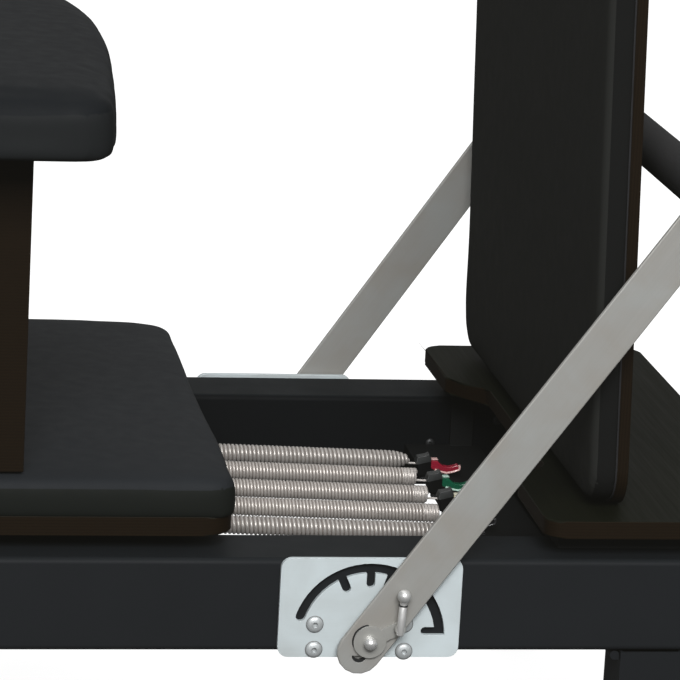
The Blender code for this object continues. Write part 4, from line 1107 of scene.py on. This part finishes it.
# ------------------------------------------------------------------ screws and bolts
def button_screw(bm, at, axis, side, r=0.0075, h=0.0034):
    """A low domed head with a hexagon-like socket; side is the way it looks along axis."""
    prof = [(r * 0.985, 0.0), (r, h * 0.10), (r, h * 0.26)]
    for k in range(1, 7):
        a = math.pi / 2 * k / 8
        prof.append((r * math.cos(a) * 0.985, h * 0.26 + h * 0.74 * math.sin(a)))
    prof += [(r * 0.36, h), (r * 0.33, h - 0.0002), (r * 0.30, h * 0.25), (0.0, h * 0.22)]
    lathe([(0.0, 0.0)] + [(a, side * t) for a, t in prof], axis, at, 32, bm=bm)


for tag, s in SIDES:
    bm = bmesh.new()
    for x, z in ((-0.0527, -0.0616), (-0.0525, -0.0861), (0.0326, -0.0879), (0.0319, -0.0615)):
        button_screw(bm, (x, s * 0.33535, z), "Y", s)
    ob = from_bm("plate_screws_" + tag, bm, [SCREW_STEEL], angle=40)
    place(ob, "foot_frame", "plate_steel")
    # a dark ring round the foot of each screw head
    bm = bmesh.new()
    for x, z in ((-0.0527, -0.0616), (-0.0525, -0.0861), (0.0326, -0.0879), (0.0319, -0.0615)):
        ring = [(0.0070, 0.0), (0.0083, 0.0), (0.0083, 0.0004), (0.0070, 0.0007)]
        lathe([(r, s * t) for r, t in ring], "Y", (x, s * 0.33535, z), 32, True, bm)
    place(from_bm("screw_dark_rings_" + tag, bm, [SCREW_RIM], angle=40), "foot_frame", "plate_steel")
    bm = bmesh.new()
    for x, z in ((0.1614, -0.0514), (0.1889, -0.0478), (0.2340, -0.0248)):
        button_screw(bm, (x, s * 0.24985, z), "Y", -s, 0.0052, 0.0026)
    place(from_bm("rail_bolts_" + tag, bm, [BLACK_BOLT_AND_PAINTED_SHADE], angle=40), "foot_frame", "black_frame")

# ------------------------------------------------------------------ floor, light, camera
me = bpy.data.meshes.new("floor")
S = 14.0
me.from_pydata([(-S, -S, 0), (S, -S, 0), (S, S, 0), (-S, S, 0)], [], [(0, 1, 2, 3)])
floor = link("floor", me)
mat, nt, bsdf = new_material("pale_floor")
nt.links.new(
    ramp(nt, noise_tex(nt, coords(nt), 0.8, 3.0), [(0.3, (0.195, 0.195, 0.195)), (0.7, (0.205, 0.205, 0.205))]),
    bsdf.inputs["Base Color"],
)
bsdf.inputs["Roughness"].default_value = 0.9
bsdf.inputs["Specular IOR Level"].default_value = 0.05
bsdf.inputs["Emission Color"].default_value = (1.0, 1.0, 1.0, 1.0)
bsdf.inputs["Emission Strength"].default_value = 0.96
me.materials.append(mat)
floor.visible_diffuse = False
floor.visible_glossy = False

world = bpy.data.worlds.new("studio")
scene.world = world
world.use_nodes = True
wt = world.node_tree
bg = wt.nodes["Background"]
sky = wt.nodes.new("ShaderNodeTexCoord")
split = wt.nodes.new("ShaderNodeSeparateXYZ")
wt.links.new(sky.outputs["Generated"], split.inputs["Vector"])
wt.links.new(
    ramp(wt, remap(wt, split.outputs["Z"], -1.0, 1.0, 0.0, 1.0), [(0.44, (0.14, 0.14, 0.14)), (0.56, (0.50, 0.50, 0.50))]),
    bg.inputs["Color"],
)
bg.inputs["Strength"].default_value = 1.0


def area(name, at, target, size, power, colour=(1, 1, 1)):
    light = bpy.data.lights.new(name, "AREA")
    light.shape = "RECTANGLE"
    light.size, light.size_y = size
    light.energy = power
    light.color = colour
    ob = bpy.data.objects.new(name, light)
    scene.collection.objects.link(ob)
    ob.location = at
    d = Vector(target) - Vector(at)
    ob.rotation_euler = d.to_track_quat("-Z", "Y").to_euler()
    return ob


area("key_softbox", (0.5, -4.4, 3.3), (0.7, 0, 0.3), (3.2, 2.0), 420)
area("top_softbox", (0.5, 0.6, 4.6), (0.5, 0.2, 0.0), (5.5, 4.5), 70)

YAW, PITCH, ROLL, FOCAL = -0.15760, 0.23978, 0.05162, 3752.79
fwd = Vector((-math.sin(YAW) * math.cos(PITCH), math.cos(YAW) * math.cos(PITCH), -math.sin(PITCH)))
r0 = fwd.cross(Vector((0, 0, 1))).normalized()
u0 = r0.cross(fwd)
right = r0 * math.cos(ROLL) + u0 * math.sin(ROLL)
up = -r0 * math.sin(ROLL) + u0 * math.cos(ROLL)
cam = bpy.data.cameras.new("camera")
cam.sensor_fit = "HORIZONTAL"
cam.sensor_width = 36.0
cam.lens = FOCAL / 680 * 36.0
cam.shift_x = 40 / 680
cam.shift_y = -20 / 680
cam.clip_end = 60
camera = bpy.data.objects.new("camera", cam)
scene.collection.objects.link(camera)
m = Matrix((right, up, -fwd)).transposed().to_4x4()
m.translation = W(-0.60116, -3.60657, 1.03885)
camera.matrix_world = m
scene.camera = camera
scene.view_settings.view_transform = "Standard"
scene.view_settings.look = "None"
# the studio's haze: the darkest shadows stay a deep grey
curves = scene.view_settings
curves.use_curve_mapping = True
curves.curve_mapping.black_level = (-0.0050, -0.0049, -0.0042)
curves.curve_mapping.white_level = (1.0, 1.0, 1.0)
curves.curve_mapping.update()
